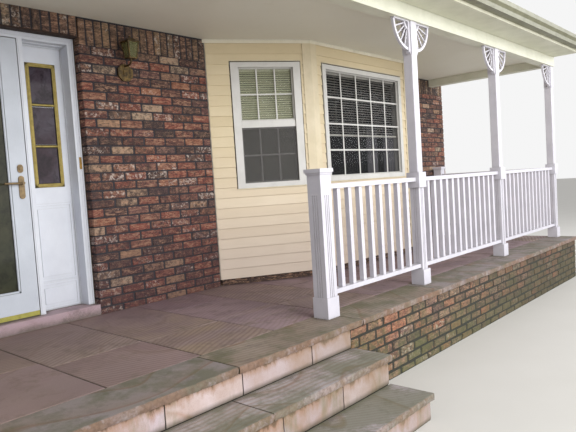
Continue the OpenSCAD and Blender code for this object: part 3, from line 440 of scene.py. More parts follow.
def shingle_material():
    """Grey-brown shingles, each tab with its own tone, with mineral grit and some moss."""
    made = Material("Shingle", roughness=0.95)
    made.body = made.ramp(made.tone()[0], [(0.0, "3b3833"), (0.35, "4b463f"), (0.7, "57504a"),
                                           (1.0, "655d54")])
    grit = made.noise(420, 3, 0.6)
    made.lay(grit, "8b8378", 0.45, 0.7, 0.6)
    made.lay(made.noise(2.2, 6, 0.7), "4a4f38", 0.58, 0.75, 0.4)
    return made.finish((grit, 1.0), (made.noise(40, 4, 0.6), 1.0))


def plaster_material():
    made = Material("Inner plaster", "d9d4c8", roughness=0.85)
    made.lay(made.noise(2.0, 5, 0.6), "c7c0b1", 0.35, 0.8, 0.6)
    return made.finish((made.noise(120, 5, 0.65), 0.5))


def fabric_material(name, base, shade):
    made = Material(name, base, roughness=0.85)
    made.lay(made.noise(9, 4, 0.6, made.stretched(6, 6, 0.3)), shade, 0.35, 0.7)
    return made.finish((made.noise(900, 2, 0.5), 0.15))


WALL_BRICK = brick_material(
    "Wall brick",
    [(0.0, "2a2024"), (0.14, "54312d"), (0.30, "6f392f"), (0.46, "7f4033"), (0.60, "58393a"),
     (0.72, "8a553c"), (0.84, "4f363c"), (0.92, "8f7058"), (1.0, "b09c86")],
    "bcb0a7", 0.80, low_plum_shade="45282f")
SOLDIER_BRICK = brick_material(
    "Soldier brick",
    [(0.0, "272124"), (0.2, "563f37"), (0.4, "705a46"), (0.55, "5e3c35"), (0.7, "80694f"),
     (0.85, "463839"), (1.0, "a08d74")],
    "b9aea3", 0.79)
BASE_BRICK = brick_material(
    "Base brick",
    [(0.0, "40332e"), (0.14, "695343"), (0.28, "875742"), (0.42, "6e6250"), (0.56, "94583f"),
     (0.68, "7d6056"), (0.82, "695e4a"), (0.92, "9c5f40"), (1.0, "9a8c76")],
    "b0a794", 0.79, moss="555735")
KERB_BRICK = brick_material(
    "Kerb brick", [(0.0, "3a2a26"), (0.4, "5f4034"), (0.7, "74503f"), (1.0, "86634e")],
    "9c8f80", 0.86)
WALL_MORTAR = mortar_material("Wall mortar", "3c393e", "262428")
BASE_MORTAR = mortar_material("Base mortar", "38332c", "24211d", moss="30332a")
FLOOR_STONE = stone_material(
    "Floor stone",
    [(0.0, "967f86"), (0.25, "a69097"), (0.45, "90787f"), (0.6, "a8958a"), (0.8, "9a8777"), (1.0, "ae9e9d")],
    "86737b", "614739", "baa8a6", "5c5742", 0.57, rock_faced=False, wall_plum_shade="6a535b")
COPING_STONE = stone_material(
    "Coping stone",
    [(0.0, "8c8284"), (0.4, "958b8d"), (0.7, "988c80"), (1.0, "887e81")],
    "807970", "77573f", "80604c", "575a3e", 0.45)
TREAD_STONE = stone_material(
    "Tread stone",
    [(0.0, "a59ea5"), (0.4, "b2aab1"), (0.7, "afa7a4"), (1.0, "a59da3")],
    "9a9594", "85654f", "7f6650", "62654a", 0.50)
RISER_STONE = riser_material()
SILL_STONE = stone_material(
    "Sill stone", [(0.0, "a8939a"), (0.5, "b5a0a6"), (1.0, "bfabaf")],
    "a38b92", "8d747a", "b39ba0", "86747a", 0.72, rock_faced=False)
STONE_JOINT = mortar_material("Stone joint", "3b352f", "27231f", moss="33362a")
SIDING = siding_material()
CORNER_PAINT = paint_material("Corner boards", "dccfb2", "cfc1a0")
SHADOW_GAP = paint_material("Shadow gap", "4a4038", "38302a", 0.9)
WHITE = paint_material("White paint", "d1cfd8", "c4c2cc", 0.40)
BEAM_PAINT = paint_material("Beam paint", "dcdccc", "cfd0bd", grain=(0.35, 3, 3))
SOFFIT_PAINT = paint_material("Soffit paint", "d6d6c2", "c8c9b3", 0.5, grain=(0.35, 3, 3))
TRIM_PAINT = paint_material("Ceiling trim", "e9e4d3", "dcd6c2", 0.5, grain=(0.35, 0.35, 3))
DOOR_WHITE = paint_material("Door enamel", "d3d7e0", "c9cdd7", 0.33, dirt=0.12)
LEAF_WHITE = paint_material("Storm door enamel", "bcc2cc", "b1b7c1", 0.33, dirt=0.12)
VINYL = paint_material("Window vinyl", "d3d2cf", "c5c4c0", dirt=0.2)
GUTTER_PAINT = paint_material("Gutter enamel", "79785f", "65644c", 0.4, dirt=0.5, grain=(0.2, 1, 3))
FASCIA_PAINT = paint_material("Fascia paint", "d9d8c4", "cbcab3", 0.4, dirt=0.3, grain=(0.2, 1, 3))
CEILING_PAINT = ceiling_material()
GLASS = glass_material("Front window glass", "24262a", 0.20)
CANT_GLASS = glass_material("Cant window glass", "969b7e", 0.22)
# Opaque door and sidelight glass: painted shade of the room behind, with painted reflections.
DOOR_GLASS = room_shade_glass_material("Door glass", "34362a", "4c4a3a", "23231f")
SIDE_GLASS = room_shade_glass_material("Sidelight glass", "3a2c34", "54505a", "1c181c")
ROOM_SHADE = room_shade_material()
SCREEN = screen_material()
BLIND = paint_material("Blind slats", "efefd8", "e2e3c9", 0.5, dirt=0.1)
FRONT_BLIND = paint_material("Front blind slats", "e4e1d8", "d2cfc6", 0.5, dirt=0.1)
CURTAIN = fabric_material("Curtain", "77757a", "46444a")
GILT = metal_material("Gilt frame", "a08f50", "7d6e3c", 0.42, tarnish_from=0.43, metallic=0.45)
STRIP = metal_material("Olive strip", "a09a4c", "7f7a3c", 0.40, tarnish_from=0.43, metallic=0.3)
BRASS = metal_material("Brass", "a8874c", "6f5a38", 0.30)
BRONZE = metal_material("Bronze plate", "8a7554", "54483a", 0.38, metallic=0.6)
AGED = metal_material("Aged brass", "846b3c", "2c2620", 0.34, tarnish_from=0.26, metallic=0.65)
RUST = metal_material("Rusty steel", "36261f", "211916", 0.8, metallic=0.0)
RUBBER = metal_material("Weatherstrip", "2b2a2a", "1d1c1c", 0.8, metallic=0.0)
LAMP_GLASS = glass_material("Lantern glass", "7a7a48", 0.42, 0.10, ior=1.45)
SHINGLE = shingle_material()
PLASTER = plaster_material()
MASONRY = mortar_material("Rubble masonry", "7d7668", "615b4f")


# Mesh tools

def add_object(name, data):
    """A new object in the scene."""
    made = bpy.data.objects.new(name, data)
    bpy.context.scene.collection.objects.link(made)
    return made


# The corners of a square in order, and for each axis the two others
SQUARE = ((0, 0), (1, 0), (1, 1), (0, 1))
OTHER_AXES = ((1, 2), (0, 2), (0, 1))


class Pile:
    """Gathers many small solids into one mesh. Points are in the porch layout, and a solid's
    skin is the number of its material in the pile's list."""

    def __init__(self, name, materials, body="porch", seed=1):
        self.name = name
        self.materials = materials
        self.body = body
        self.points = []
        self.faces = []
        self.skins = []
        self.tones = []
        self.chance = random.Random(seed)

    def add(self, points, faces, skin=0, tone=None):
        """Adds a solid. tone is one for all its points or a list with one for each."""
        base = len(self.points)
        tone = tone or (self.chance.random(), self.chance.random(), self.chance.random())
        self.points += [tuple(p) for p in points]
        self.tones += tone if isinstance(tone, list) else [tone] * len(points)
        self.faces += [tuple(base + i for i in face) for face in faces]
        self.skins += [skin] * len(faces)

    def box(self, low, high, skin=0, place=None, bevel=0.0, shake=0.0):
        """A box with bevelled edges. place turns its points into the porch layout."""
        points, faces = bevelled_box(low, high, bevel)
        if shake:
            points = [[c + self.chance.uniform(-shake, shake) for c in p] for p in points]
        self.add([place(p) for p in points] if place else points, faces, skin)

    def boxes(self, corners, **settings):
        """Boxes that differ only in their corners, given as pairs of the low and the high one."""
        for low, high in corners:
            self.box(low, high, **settings)

    def done(self, slot, smooth=0.0, replaces=()):
        mesh = bpy.data.meshes.new(self.name)
        mesh.from_pydata([at(*p) for p in self.points], [], self.faces)
        for material in self.materials:
            mesh.materials.append(material)
        mesh.polygons.foreach_set("material_index", self.skins)
        tone = mesh.attributes.new("tone", "FLOAT_COLOR", "POINT")
        tone.data.foreach_set("color", [c for t in self.tones for c in (*t, 1.0)])
        mesh.validate()
        piece = add_object(self.name, mesh)
        if smooth:
            mesh.shade_smooth()
            mesh.set_sharp_from_angle(angle=math.radians(smooth))
        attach(piece, self.body)
        if replaces:
            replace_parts(piece, *replaces)
        return piece


def turned(face, keep):
    """The face as it is, or turned to its other side."""
    return tuple(face) if keep else tuple(reversed(face))


def grid_box(*values):
    """Points and faces of a box whose six sides are divided at the given x, y and z values."""
    points = []
    index = {}
    faces = []

    def point(key):
        if key not in index:
            index[key] = len(points)
            points.append([line[i] for line, i in zip(values, key)])
        return index[key]

    for axis, (first, second) in enumerate(OTHER_AXES):
        for end in (0, len(values[axis]) - 1):
            for i in range(len(values[first]) - 1):
                for j in range(len(values[second]) - 1):
                    corners = []
                    for a, b in SQUARE:
                        key = [end, end, end]
                        key[first] = i + a
                        key[second] = j + b
                        corners.append(point(tuple(key)))
                    faces.append(turned(corners, (end > 0) == (axis != 1)))
    return points, faces


def bevelled_box(low, high, bevel):
    """Points and faces of a box. With a bevel, each corner has three points, one for each side
    that meets there. Corners are numbered 0 to 7, with one bit for each axis."""
    if bevel <= 0:
        return grid_box(*zip(low, high))
    bevel = min(bevel, *[(high[i] - low[i]) * 0.45 for i in range(3)])
    points = []
    for corner in range(8):
        for axis in range(3):
            inset = [0 if i == axis else bevel for i in range(3)]
            points.append([high[i] - inset[i] if corner >> i & 1 else low[i] + inset[i] for i in range(3)])
    faces = []
    for axis, (first, second) in enumerate(OTHER_AXES):
        near, far = [[3 * ((end << axis) + (i << first) + (j << second)) for i, j in SQUARE]
                     for end in (0, 1)]
        faces.append(turned([corner + axis for corner in near], axis == 1))
        faces.append(turned([corner + axis for corner in far], axis != 1))
        for (i, j), start, end in zip(SQUARE, near, far):
            edge = (start + first, end + first, end + second, start + second)
            faces.append(turned(edge, (i == j) == (axis == 1)))
    for corner in range(8):
        faces.append(turned([3 * corner + axis for axis in range(3)], corner.bit_count() % 2))
    return points, faces


def spaced(low, high, step):
    """Values from low to high, about step apart."""
    count = max(1, round((high - low) / step))
    return [low + (high - low) * i / count for i in range(count + 1)]


def rough(x, y, z, scale, seed):
    """Smooth random height from -1 to 1 at a place."""
    return noise.fractal(Vector((x / scale + seed, y / scale, z / scale)), 1.0, 2.0, 3)


# Brickwork

@dataclass
class Bond:
    """A size of brick, with its joint, laid in running bond."""
    length: float
    height: float
    depth: float
    joint: float
    bevel: float
    shake: float

    @property
    def course(self):
        return self.height + self.joint

    @property
    def half(self):
        return (self.length - self.joint) / 2

    def corner(self, deep):
        """Width and depth of a corner brick, which lies into the wall or along it."""
        return (self.half, self.length) if deep else (self.length, self.depth)

    def brick(self, pile, start, end, depth, foot, place, skin=0):
        """One brick, with its ends, its face, its foot and its top a little off by chance."""
        chance = pile.chance
        wear = self.shake
        near = wear + chance.uniform(0.0, 3.5)
        top = foot + self.height + chance.uniform(-1, 1)
        foot = max(foot + chance.uniform(-1, 1), GROUND + wear)
        pile.box((start + wear + chance.uniform(0, 1.5), near, foot),
                 (end - wear - chance.uniform(0, 1.5), depth, top),
                 skin, place, self.bevel * chance.uniform(0.7, 1.4), wear)

    def row(self, pile, number, foot, start, end, place):
        """One course from start to end. Odd courses begin with half a brick."""
        size = self.half if number % 2 else self.length
        while start < end - SHORTEST_BRICK:
            stop = min(start + size, end)
            if end - stop < LEAST_REST:
                stop = end
            self.brick(pile, start, stop, self.depth, foot, place)
            start = stop + self.joint
            size = self.length


SHORTEST_BRICK = 25
LEAST_REST = 35
SOLDIER_FOOT = 2181
SOLDIER_TOP = 2394
SOLDIER_PITCH = 73.5
SOLDIER_JOINT = 10
WALL_BOND = Bond(length=210, height=61.7, depth=99, joint=12, bevel=5, shake=1.3)
UPRIGHT = replace(WALL_BOND, height=SOLDIER_TOP - SOLDIER_FOOT - SOLDIER_JOINT)
BASE_BOND = Bond(length=200, height=62, depth=95, joint=11, bevel=7, shake=2.2)
WALL_RECESS = 9
PLASTER_THICK = 14
CAP_HEIGHT = 30
CAP_INSET = 12
WALL_CORE_BACK = WALL_BACK - PLASTER_THICK
ROOF_LINE = WALL_TOP - 129


def on_wall(p):
    """(along, depth, height) on the front of the house wall."""
    return (p[0], PORCH_DEPTH + p[1], p[2])


def on_wall_end(x, inward):
    """The same on an end face at x, where along runs to the wall's back."""
    def place(p):
        return (x + inward * p[1], PORCH_DEPTH + p[0], p[2])
    return place


def wall_courses(low, high):
    """Numbers and feet of the running courses that fit between two heights. They are counted
    down and up from the soldier course."""
    course, joint = WALL_BOND.course, WALL_BOND.joint
    below = range(math.ceil((low - SOLDIER_FOOT) / course), 0)
    above = range(math.ceil((high - SOLDIER_TOP) / course))
    feet = [(number, SOLDIER_FOOT + number * course + joint) for number in below]
    feet += [(number + 1, SOLDIER_TOP + number * course + joint) for number in above]
    return [(number, foot) for number, foot in feet
            if foot >= low - 1 and foot + WALL_BOND.height < high]


def wall_piece(node, left, right, foot, seed, left_in=0, right_in=0, lift=0, cap_inset=CAP_INSET):
    """A piece of the house wall without its bricks: a mortar core, a plaster back and a cap.
    The core can stand in at its ends and be lifted off the foot."""
    pile = Pile(node + "_brickwork", [WALL_BRICK, WALL_MORTAR, PLASTER, SOLDIER_BRICK], seed=seed)
    pile.box((left + left_in, PORCH_DEPTH + WALL_RECESS, foot + lift),
             (right - right_in, WALL_CORE_BACK, WALL_TOP - 1), 1)
    pile.box((left, WALL_CORE_BACK, foot), (right, WALL_BACK, WALL_TOP), 2)
    pile.box((left + cap_inset, PORCH_DEPTH + CAP_INSET, WALL_TOP - CAP_HEIGHT),
             (right - cap_inset, WALL_BACK - 2, WALL_TOP), 2)
    return pile


def soldiers(pile, left, right, foot):
    """A course of bricks standing on end."""
    count = round((right - left) / SOLDIER_PITCH)
    pitch = (right - left) / count
    gap = SOLDIER_JOINT / 2
    for i in range(count):
        UPRIGHT.brick(pile, left + i * pitch + gap, left + (i + 1) * pitch - gap, WALL_BOND.depth,
                      foot + gap, on_wall, 3)


def returns(pile, x, inward, low, high, deep_when):
    """Bricks on the wall's end face behind the corner bricks, which lie into the wall in the
    even courses where deep_when is 0, and in the odd ones where it is 1."""
    back = WALL_CORE_BACK - PORCH_DEPTH
    place = on_wall_end(x, inward)
    for number, foot in wall_courses(low, high):
        start = WALL_BOND.corner(number % 2 == deep_when)[1] + WALL_BOND.joint
        if back - start > SHORTEST_BRICK:
            WALL_BOND.brick(pile, start, back, WALL_BOND.depth, foot, place)
    UPRIGHT.brick(pile, WALL_BOND.depth + WALL_BOND.joint, back, WALL_BOND.depth,
                  SOLDIER_FOOT + SOLDIER_JOINT / 2, place, 3)


def house_wall(node, left, right, low, high, left_free, right_free, seed):
    """A piece of the house wall, with bricks from low to high and round its free ends."""
    pile = wall_piece(node, left, right, GROUND, seed, WALL_RECESS if left_free else 0,
                      WALL_RECESS if right_free else 0)
    bond = WALL_BOND
    for number, foot in wall_courses(low, high):
        start, end = left, right
        if right_free:
            size, depth = bond.corner(number % 2 == 0)
            bond.brick(pile, right - size, right, depth, foot, on_wall)
            end = right - size - bond.joint
        if left_free and number % 2:
            bond.brick(pile, left, left + bond.half, bond.length, foot, on_wall)
            start = left + bond.half + bond.joint
        bond.row(pile, 0 if left_free else number, foot, start, end, on_wall)
    soldiers(pile, left, right, SOLDIER_FOOT)
    if left_free:
        returns(pile, left, 1, low, high, 1)
    if right_free:
        returns(pile, right, -1, low, high, 0)
    pile.done(slot="brick", replaces=(node,))


def build_house_wall():
    """The five pieces of the house wall. The one over the bay and the top of the one beside it
    have no bricks, since the roof stands before them."""
    house_wall("wall_left", WALL_LEFT, JAMB_LEFT, GROUND, WALL_TOP, True, True, 11)
    house_wall("wall_centre", JAMB_RIGHT, BAY_FOOT_LEFT, -80, CEILING + 12, True, False, 12)
    house_wall("wall_right", BAY_FOOT_RIGHT, WALL_RIGHT, GROUND, WALL_TOP, False, True, 13)
    over_bay = wall_piece("wall_over_bay", BAY_FOOT_LEFT, BAY_FOOT_RIGHT, CEILING, 14)
    over_bay.done(slot="brick", replaces=("wall_over_bay",))

    over_door = wall_piece("wall_over_door", JAMB_LEFT, JAMB_RIGHT, DOOR_HEAD, 15, lift=2, cap_inset=0)
    soldiers(over_door, JAMB_LEFT, JAMB_RIGHT, DOOR_HEAD - 5)
    for number, foot in wall_courses(ROOF_LINE, WALL_TOP):
        WALL_BOND.row(over_door, number, foot, JAMB_LEFT, JAMB_RIGHT, on_wall)
    over_door.done(slot="brick", replaces=("wall_over_door",))


BASE_LEFT = FLOOR_LEFT + 25
BASE_RIGHT = FLOOR_RIGHT - 25
BASE_FACE = COPING_EDGE + 25
BASE_TOP = -SLAB
BASE_RECESS = 8


def on_base_front(p):
    """(along, depth, height) on the front of the base."""
    return (p[0], BASE_FACE + p[1], p[2])


def on_base_right(p):
    return (BASE_RIGHT - p[1], BASE_FACE + p[0], p[2])


def on_base_left(p):
    return (BASE_LEFT + p[1], BASE_FACE + p[0], p[2])


def build_base():
    """The brick base under the coping, on the front and at both ends."""
    pile = Pile("porch_base_brickwork", [BASE_BRICK, BASE_MORTAR, MASONRY], seed=21)
    core = COPING_EDGE + NOSING + RISER_THICK
    face = BASE_FACE + BASE_RECESS
    left, right = BASE_LEFT + BASE_RECESS, BASE_RIGHT - BASE_RECESS
    pile.box((left, core, GROUND), (right, PORCH_DEPTH, BASE_TOP), 1)
    pile.box((STEPS_RIGHT, face, GROUND), (right, core, BASE_TOP), 1)
    pile.box((left, face, GROUND), (STEPS_LEFT, core, BASE_TOP), 1)
    pile.box((JAMB_LEFT, PORCH_DEPTH, GROUND), (JAMB_RIGHT, WALL_BACK, 0), 2)
    pile.box((BAY_FOOT_LEFT, PORCH_DEPTH, GROUND), (BAY_FOOT_RIGHT, WALL_BACK, 0), 2)
    bond = BASE_BOND
    side_length = PORCH_DEPTH - BASE_FACE
    for number in range(1, math.ceil((BASE_TOP - GROUND - 30) / bond.course) + 1):
        foot = BASE_TOP - number * bond.course + 4
        size, depth = bond.corner(number % 2)
        bond.brick(pile, BASE_RIGHT - size, BASE_RIGHT, depth, foot, on_base_front)
        bond.row(pile, number + 1, foot, STEPS_RIGHT, BASE_RIGHT - size - bond.joint, on_base_front)
        bond.row(pile, 0, foot, depth + bond.joint, side_length, on_base_right)
        bond.brick(pile, BASE_LEFT, STEPS_LEFT, depth, foot, on_base_front)
        bond.row(pile, 0, foot, depth + bond.joint, side_length, on_base_left)
    pile.done(slot="brick", replaces=("porch_base",))


# Stonework

BROKEN_DEPTH = 34
DISH = 0.4


def stone(pile, low, high, rough_ends, rough_front, cell=14, across=1):
    """A split stone. Its front edge, and the ends that are named, are broken rough. Its third
    tone runs from 0 to 1 across its depth, or across its height where across is 2."""
    (left, near, foot), (right, far, top) = low, high
    xs = [left] + spaced(left + 3, right - 3, cell) + [right]
    ys = [near, near + 4, near + 14, near + BROKEN_DEPTH]
    ys += spaced(min(near + 70, far - 10), far - 4, 90) + [far]
    zs = [foot, foot + 3] + spaced(foot + 9, top - 9, 12)[1:-1] + [top - 3, top]
    points, faces = grid_box(xs, ys, zs)
    seed = pile.chance.uniform(0, 50)
    for p in points:
        x, y, z = p
        depth = rough_front * (0.5 + 0.35 * rough(x, 0, z, 70, seed) + 0.25 * rough(x, 5, z, 24, seed))
        depth += 3.5 * (1 - min(1.0, min(z - foot, top - z) / 9))
        fade = max(0.0, 1 - (y - near) / BROKEN_DEPTH)
        p[1] += fade * fade * max(0.0, depth)
        for end, inward, free in ((left, 1, rough_ends[0]), (right, -1, rough_ends[1])):
            if x == end and free:
                p[0] += inward * (4 + 5 * abs(rough(x, y, z, 40, seed)))
            elif x == end:
                p[0] += inward * (2.0 if z in (foot, top) else 0.6)
        if z == top:
            p[2] -= DISH * (1 + rough(x, y, 0, 160, seed))
            if y == near:
                p[2] -= 2.5 + 2.0 * rough(x, 7, 3, 30, seed)
    pick, other = pile.chance.random(), pile.chance.random()
    size = high[across] - low[across]
    pile.add(points, faces, 0, [(pick, other, (p[across] - low[across]) / size) for p in points])


def stones_between(pile, left, right, sizes, low_y, high_y, foot, top, joint, **settings):
    """A row of stones side by side, with open joints between them."""
    x = left
    while x < right - 1:
        end = x + pile.chance.choice(sizes)
        if right - end < 0.5 * min(sizes):
            end = right
        ends = (x == left, end == right)
        stone(pile, (x + (0 if ends[0] else joint / 2), low_y, foot),
              (end - (0 if ends[1] else joint / 2), high_y, top), ends, **settings)
        x = end


FLOOR_JOINT = 8
FLOOR_PITCH = 622
FIRST_JOINT = -1637
FIRST_CUT = 765


def build_floor():
    """The rough stones of the coping and, behind them, the sawn slabs of the floor. The joints
    that run toward the wall stand at an even pitch, and each strip is cut once."""
    coping = Pile("front_coping_stones", [COPING_STONE, STONE_JOINT], seed=31)
    stones_between(coping, FLOOR_LEFT, FLOOR_RIGHT, (1180, 1250, 1320), COPING_EDGE,
                   COPING_BACK - 4, -SLAB, 0, 7, rough_front=15.0)
    coping.box((FLOOR_LEFT + 12, COPING_EDGE + 30, -SLAB + 1), (FLOOR_RIGHT - 12, COPING_BACK, -5), 1)
    coping.done(slot="stone", smooth=50, replaces=("front_coping",))

    floor = Pile("floor_stones", [FLOOR_STONE, STONE_JOINT], seed=33)
    floor.box((FLOOR_LEFT + 6, COPING_BACK, -SLAB), (FLOOR_RIGHT - 6, PORCH_DEPTH, -4.5), 1)
    chance = floor.chance
    half = FLOOR_JOINT / 2
    column = math.floor((FLOOR_LEFT - FIRST_JOINT) / FLOOR_PITCH)
    left = FLOOR_LEFT
    while left < FLOOR_RIGHT - 1:
        column += 1
        right = min(FIRST_JOINT + column * FLOOR_PITCH, FLOOR_RIGHT)
        if FLOOR_RIGHT - right < 120:
            right = FLOOR_RIGHT
        if abs(left - FIRST_JOINT) < 1:
            cut = FIRST_CUT
        else:
            cut = COPING_BACK + chance.choice((420, 560, 760, 980, 1160))
        start = left + (half if left > FLOOR_LEFT else 0)
        end = right - (half if right < FLOOR_RIGHT else 0)
        for near, far in ((COPING_BACK, cut), (cut, PORCH_DEPTH)):
            top = -chance.uniform(0, 1.5)
            floor.box((start, near + half, -SLAB + 1), (end, far - half, top), bevel=3.0, shake=0.6)
        left = right
    floor.done(slot="stone", replaces=("floor_slabs",))


def build_steps():
    """The riser blocks under the coping and the two treads, and the rough tread stones."""
    middle, lowest = COPING_EDGE - GOING, COPING_EDGE - 2 * GOING
    risers = Pile("riser_stone_blocks", [RISER_STONE, STONE_JOINT], seed=41)
    for edge, foot, top in ((COPING_EDGE, UPPER_TOP, -SLAB), (middle, LOWER_TOP, UPPER_TOP - SLAB),
                            (lowest, GROUND, LOWER_TOP - SLAB)):
        face = edge + NOSING
        risers.box((STEPS_LEFT + 3, face + 6, foot), (STEPS_RIGHT - 3, face + RISER_THICK, top), 1)
        stones_between(risers, STEPS_LEFT, STEPS_RIGHT, (520, 600, 680), face, face + RISER_THICK - 2,
                       foot + 2, top - 1, 7, rough_front=4.0, cell=26, across=2)
    risers.done(slot="stone", smooth=50, replaces=("riser_stones",))

    treads = Pile("tread_stones", [TREAD_STONE, STONE_JOINT], seed=43)
    for edge, top in ((middle, UPPER_TOP), (lowest, LOWER_TOP)):
        back = edge + GOING + NOSING
        stones_between(treads, TREAD_LEFT, TREAD_END, (1050, 1120), edge, back, top - SLAB, top, 6,
                       rough_front=14.0)
        treads.box((STEPS_LEFT, edge + 40, top - SLAB + 1), (STEPS_RIGHT, back + RISER_THICK, top - 5), 1)
    treads.done(slot="stone", smooth=50, replaces=("step_treads",))


# Window bay

BAY_PROJECTION = PORCH_DEPTH - BAY_FRONT_Y
CANT_ANGLE = math.atan2(BAY_PROJECTION, BAY_FOOT_HALF - BAY_HALF)
CANT_LENGTH = math.hypot(BAY_PROJECTION, BAY_FOOT_HALF - BAY_HALF)
EXPOSURE = 100
LAP = 11
CHANNEL_GAP = 10
CHANNEL_DEPTH = 13
METAL_THICK = 1.4
FLASHING = 9

# Casings from left to right and from foot to top, the parts of a casing, and the meeting rail
CANT_WINDOW = (236, 948, 944, 2180)
FRONT_WINDOW = (-776, 776, 962, 2180)
CANT_SIDE = 75
FRONT_SIDE = 57
CASING_HEAD = 49
MEETING_RAIL = (1540, 1604)
CORNER_BOARD = 85


def on_left_cant(p):
    """(along, depth, height) on the left cant, from the house wall to the corner."""
    c, s = math.cos(CANT_ANGLE), math.sin(CANT_ANGLE)
    return (BAY_FOOT_LEFT + p[0] * c + p[1] * s, PORCH_DEPTH - p[0] * s + p[1] * c, p[2])


def on_right_cant(p):
    x, y, z = on_left_cant(p)
    return (2 * BAY_X - x, y, z)


def on_bay_front(p):
    """(along from the middle, depth, height) on the front of the bay."""
    return (BAY_X + p[0], BAY_FRONT_Y + p[1], p[2])


def siding_run(pile, start, end, foot, top, place, flip):
    """Lapped boards on one face, between two places along it and two heights. They are counted
    from the kerb, so that the boards on both sides of a window are level."""
    for course in range(math.ceil((top - 1 - KERB) / EXPOSURE)):
        low = KERB + course * EXPOSURE
        high = min(low + EXPOSURE, top)
        if high <= foot + 1:
            continue
        low_edge = max(low, foot)
        front, back = [-LAP + (LAP - 1) * (z - low) / EXPOSURE for z in (low_edge, high)]
        outline = [(-0.5, low_edge), (front + 0.6, low_edge), (front, low_edge + 1.2), (back, high),
                   (-0.2, high)]
        count = len(outline)
        faces = [(i, i + 1, count + i + 1, count + i) for i in range(count - 1)]
        faces += [tuple(range(count - 1, -1, -1)), tuple(range(count, 2 * count))]
        pick = random.Random(course * 7 + 3).random()
        pile.add([place((along, depth, z)) for along in (start, end) for depth, z in outline],
                 [turned(face, not flip) for face in faces], 0, (pick, 0.5, 0.5))


def channel(pile, start, end, foot, top, place):
    """The gap round a casing where the boards end, filled with dark strips of painted shadow, and the thin
    trim over and under it.
    """
    left, right, head = start - CHANNEL_GAP, end + CHANNEL_GAP, top + CHANNEL_GAP
    near, far = -CHANNEL_DEPTH, -CHANNEL_DEPTH + METAL_THICK
    # Painted shadow: dark strips in the gap beside and over the casing.
    pile.boxes((((left, -1.5, foot - 3), (start, 0, head)),
                ((end, -1.5, foot - 3), (right, 0, head)),
                ((start, -1.5, top), (end, 0, head))), skin=2, place=place)
    pile.boxes((((left - METAL_THICK, near, head), (right + METAL_THICK, 0, head + METAL_THICK)),
                ((left, near, head), (right, far, head + 12)),
                ((left, near, foot - FLASHING), (right, far, foot))), skin=1, place=place)


def clad(name, start, end, window, place, flip=False):
    """Siding round a window on one wall of the bay. window is (left, right, foot, top)."""
    pile = Pile(name, [SIDING, CORNER_PAINT, SHADOW_GAP], seed=51)
    left, right, foot, top = window
    gap_left, gap_right = left - CHANNEL_GAP, right + CHANNEL_GAP
    ceiling = TRIM_FOOT + 2
    for run in ((start, gap_left, KERB, ceiling), (gap_right, end, KERB, ceiling),
                (gap_left, gap_right, KERB, foot - FLASHING),
                (gap_left, gap_right, top + CHANNEL_GAP, ceiling)):
        siding_run(pile, *run, place, flip)
    channel(pile, left, right, foot, top, place)
    pile.done(slot="siding")


def build_siding():
    clad("bay_left_siding", 4, CANT_LENGTH - CORNER_BOARD, CANT_WINDOW, on_left_cant)
    clad("bay_right_siding", 4, CANT_LENGTH - CORNER_BOARD, CANT_WINDOW, on_right_cant, flip=True)
    clad("bay_front_siding", -BAY_HALF + CORNER_BOARD, BAY_HALF - CORNER_BOARD, FRONT_WINDOW,
         on_bay_front)


# Windows

PANE_FRONT = 22
PANE_BACK = 28
SCREEN_FRONT = 6
SLAT_FRONT = 46
SLAT_BACK = 68
HEAD_RAIL = 34
CURTAIN_DEPTH = 84
ROOM_SHADE_DEPTH = 97


def sash(pile, left, right, foot, top, place, wide):
    """A stepped sash frame round one sheet of glass."""
    for inset, front, size in ((0, 8, wide), (wide, 14, 5)):
        low, high = left + inset, right - inset
        base, head = foot + inset, top - inset
        pile.boxes((((low, front, base), (low + size, PANE_FRONT, head)),
                    ((high - size, front, base), (high, PANE_FRONT, head)),
                    ((low, front, base), (high, PANE_FRONT, base + size)),
                    ((low, front, head - size), (high, PANE_FRONT, head))), place=place, bevel=1.5)


def muntins(pile, left, right, foot, top, columns, rows, bar, place):
    """White bars that divide one sheet of glass."""
    front, back = PANE_FRONT - 7, PANE_FRONT - 0.5
    for x in spaced(left, right, (right - left) / columns)[1:-1]:
        pile.box((x - bar / 2, front, foot), (x + bar / 2, back, top), 0, place, 2)
    for z in spaced(foot, top, (top - foot) / rows)[1:-1]:
        pile.box((left, front + 0.6, z - bar / 2), (right, back, z + bar / 2), 0, place, 2)


def blind(pile, left, right, bottom, top, pitch, rise, place):
    """A slatted blind. rise is how far each slat climbs over its depth."""
    near, far = SLAT_FRONT, SLAT_BACK
    pile.box((left + 6, near, top - HEAD_RAIL), (right - 6, far + 4, top - 2), 1, place, 2)
    z = top - HEAD_RAIL - pitch / 2
    while z > bottom + 24:
        slat = [(left + 8, near, z - rise / 2), (right - 8, near, z - rise / 2),
                (right - 8, far, z + rise / 2), (left + 8, far, z + rise / 2)]
        lifted = [(x, y + 0.8, height - 1.2) for x, y, height in slat]
        pile.add([place(p) for p in slat + lifted],
                 [(0, 1, 2, 3), (7, 6, 5, 4), (0, 4, 5, 1), (2, 6, 7, 3)], 1)
        z -= pitch
    pile.box((left + 8, near, bottom), (right - 8, far, bottom + 22), 1, place, 2)
    for share in (0.15, 0.5, 0.85):
        x = left + share * (right - left)
        pile.box((x - 0.8, near - 1.5, bottom), (x + 0.8, near, top - 30), 1, place)


def curtain(pile, start, end, foot, top, place):
    """A sheer curtain with folds."""
    folds = 44
    points = []
    for i, x in enumerate(spaced(start, end, (end - start) / folds)):
        wave = 7 * math.sin(i * 1.3) + 4 * math.sin(i * 0.61 + 1)
        points += [place((x, CURTAIN_DEPTH + wave * 0.6, foot)), place((x, CURTAIN_DEPTH + wave, top))]
    pile.add(points, [(2 * i, 2 * i + 2, 2 * i + 3, 2 * i + 1) for i in range(folds)], 3)


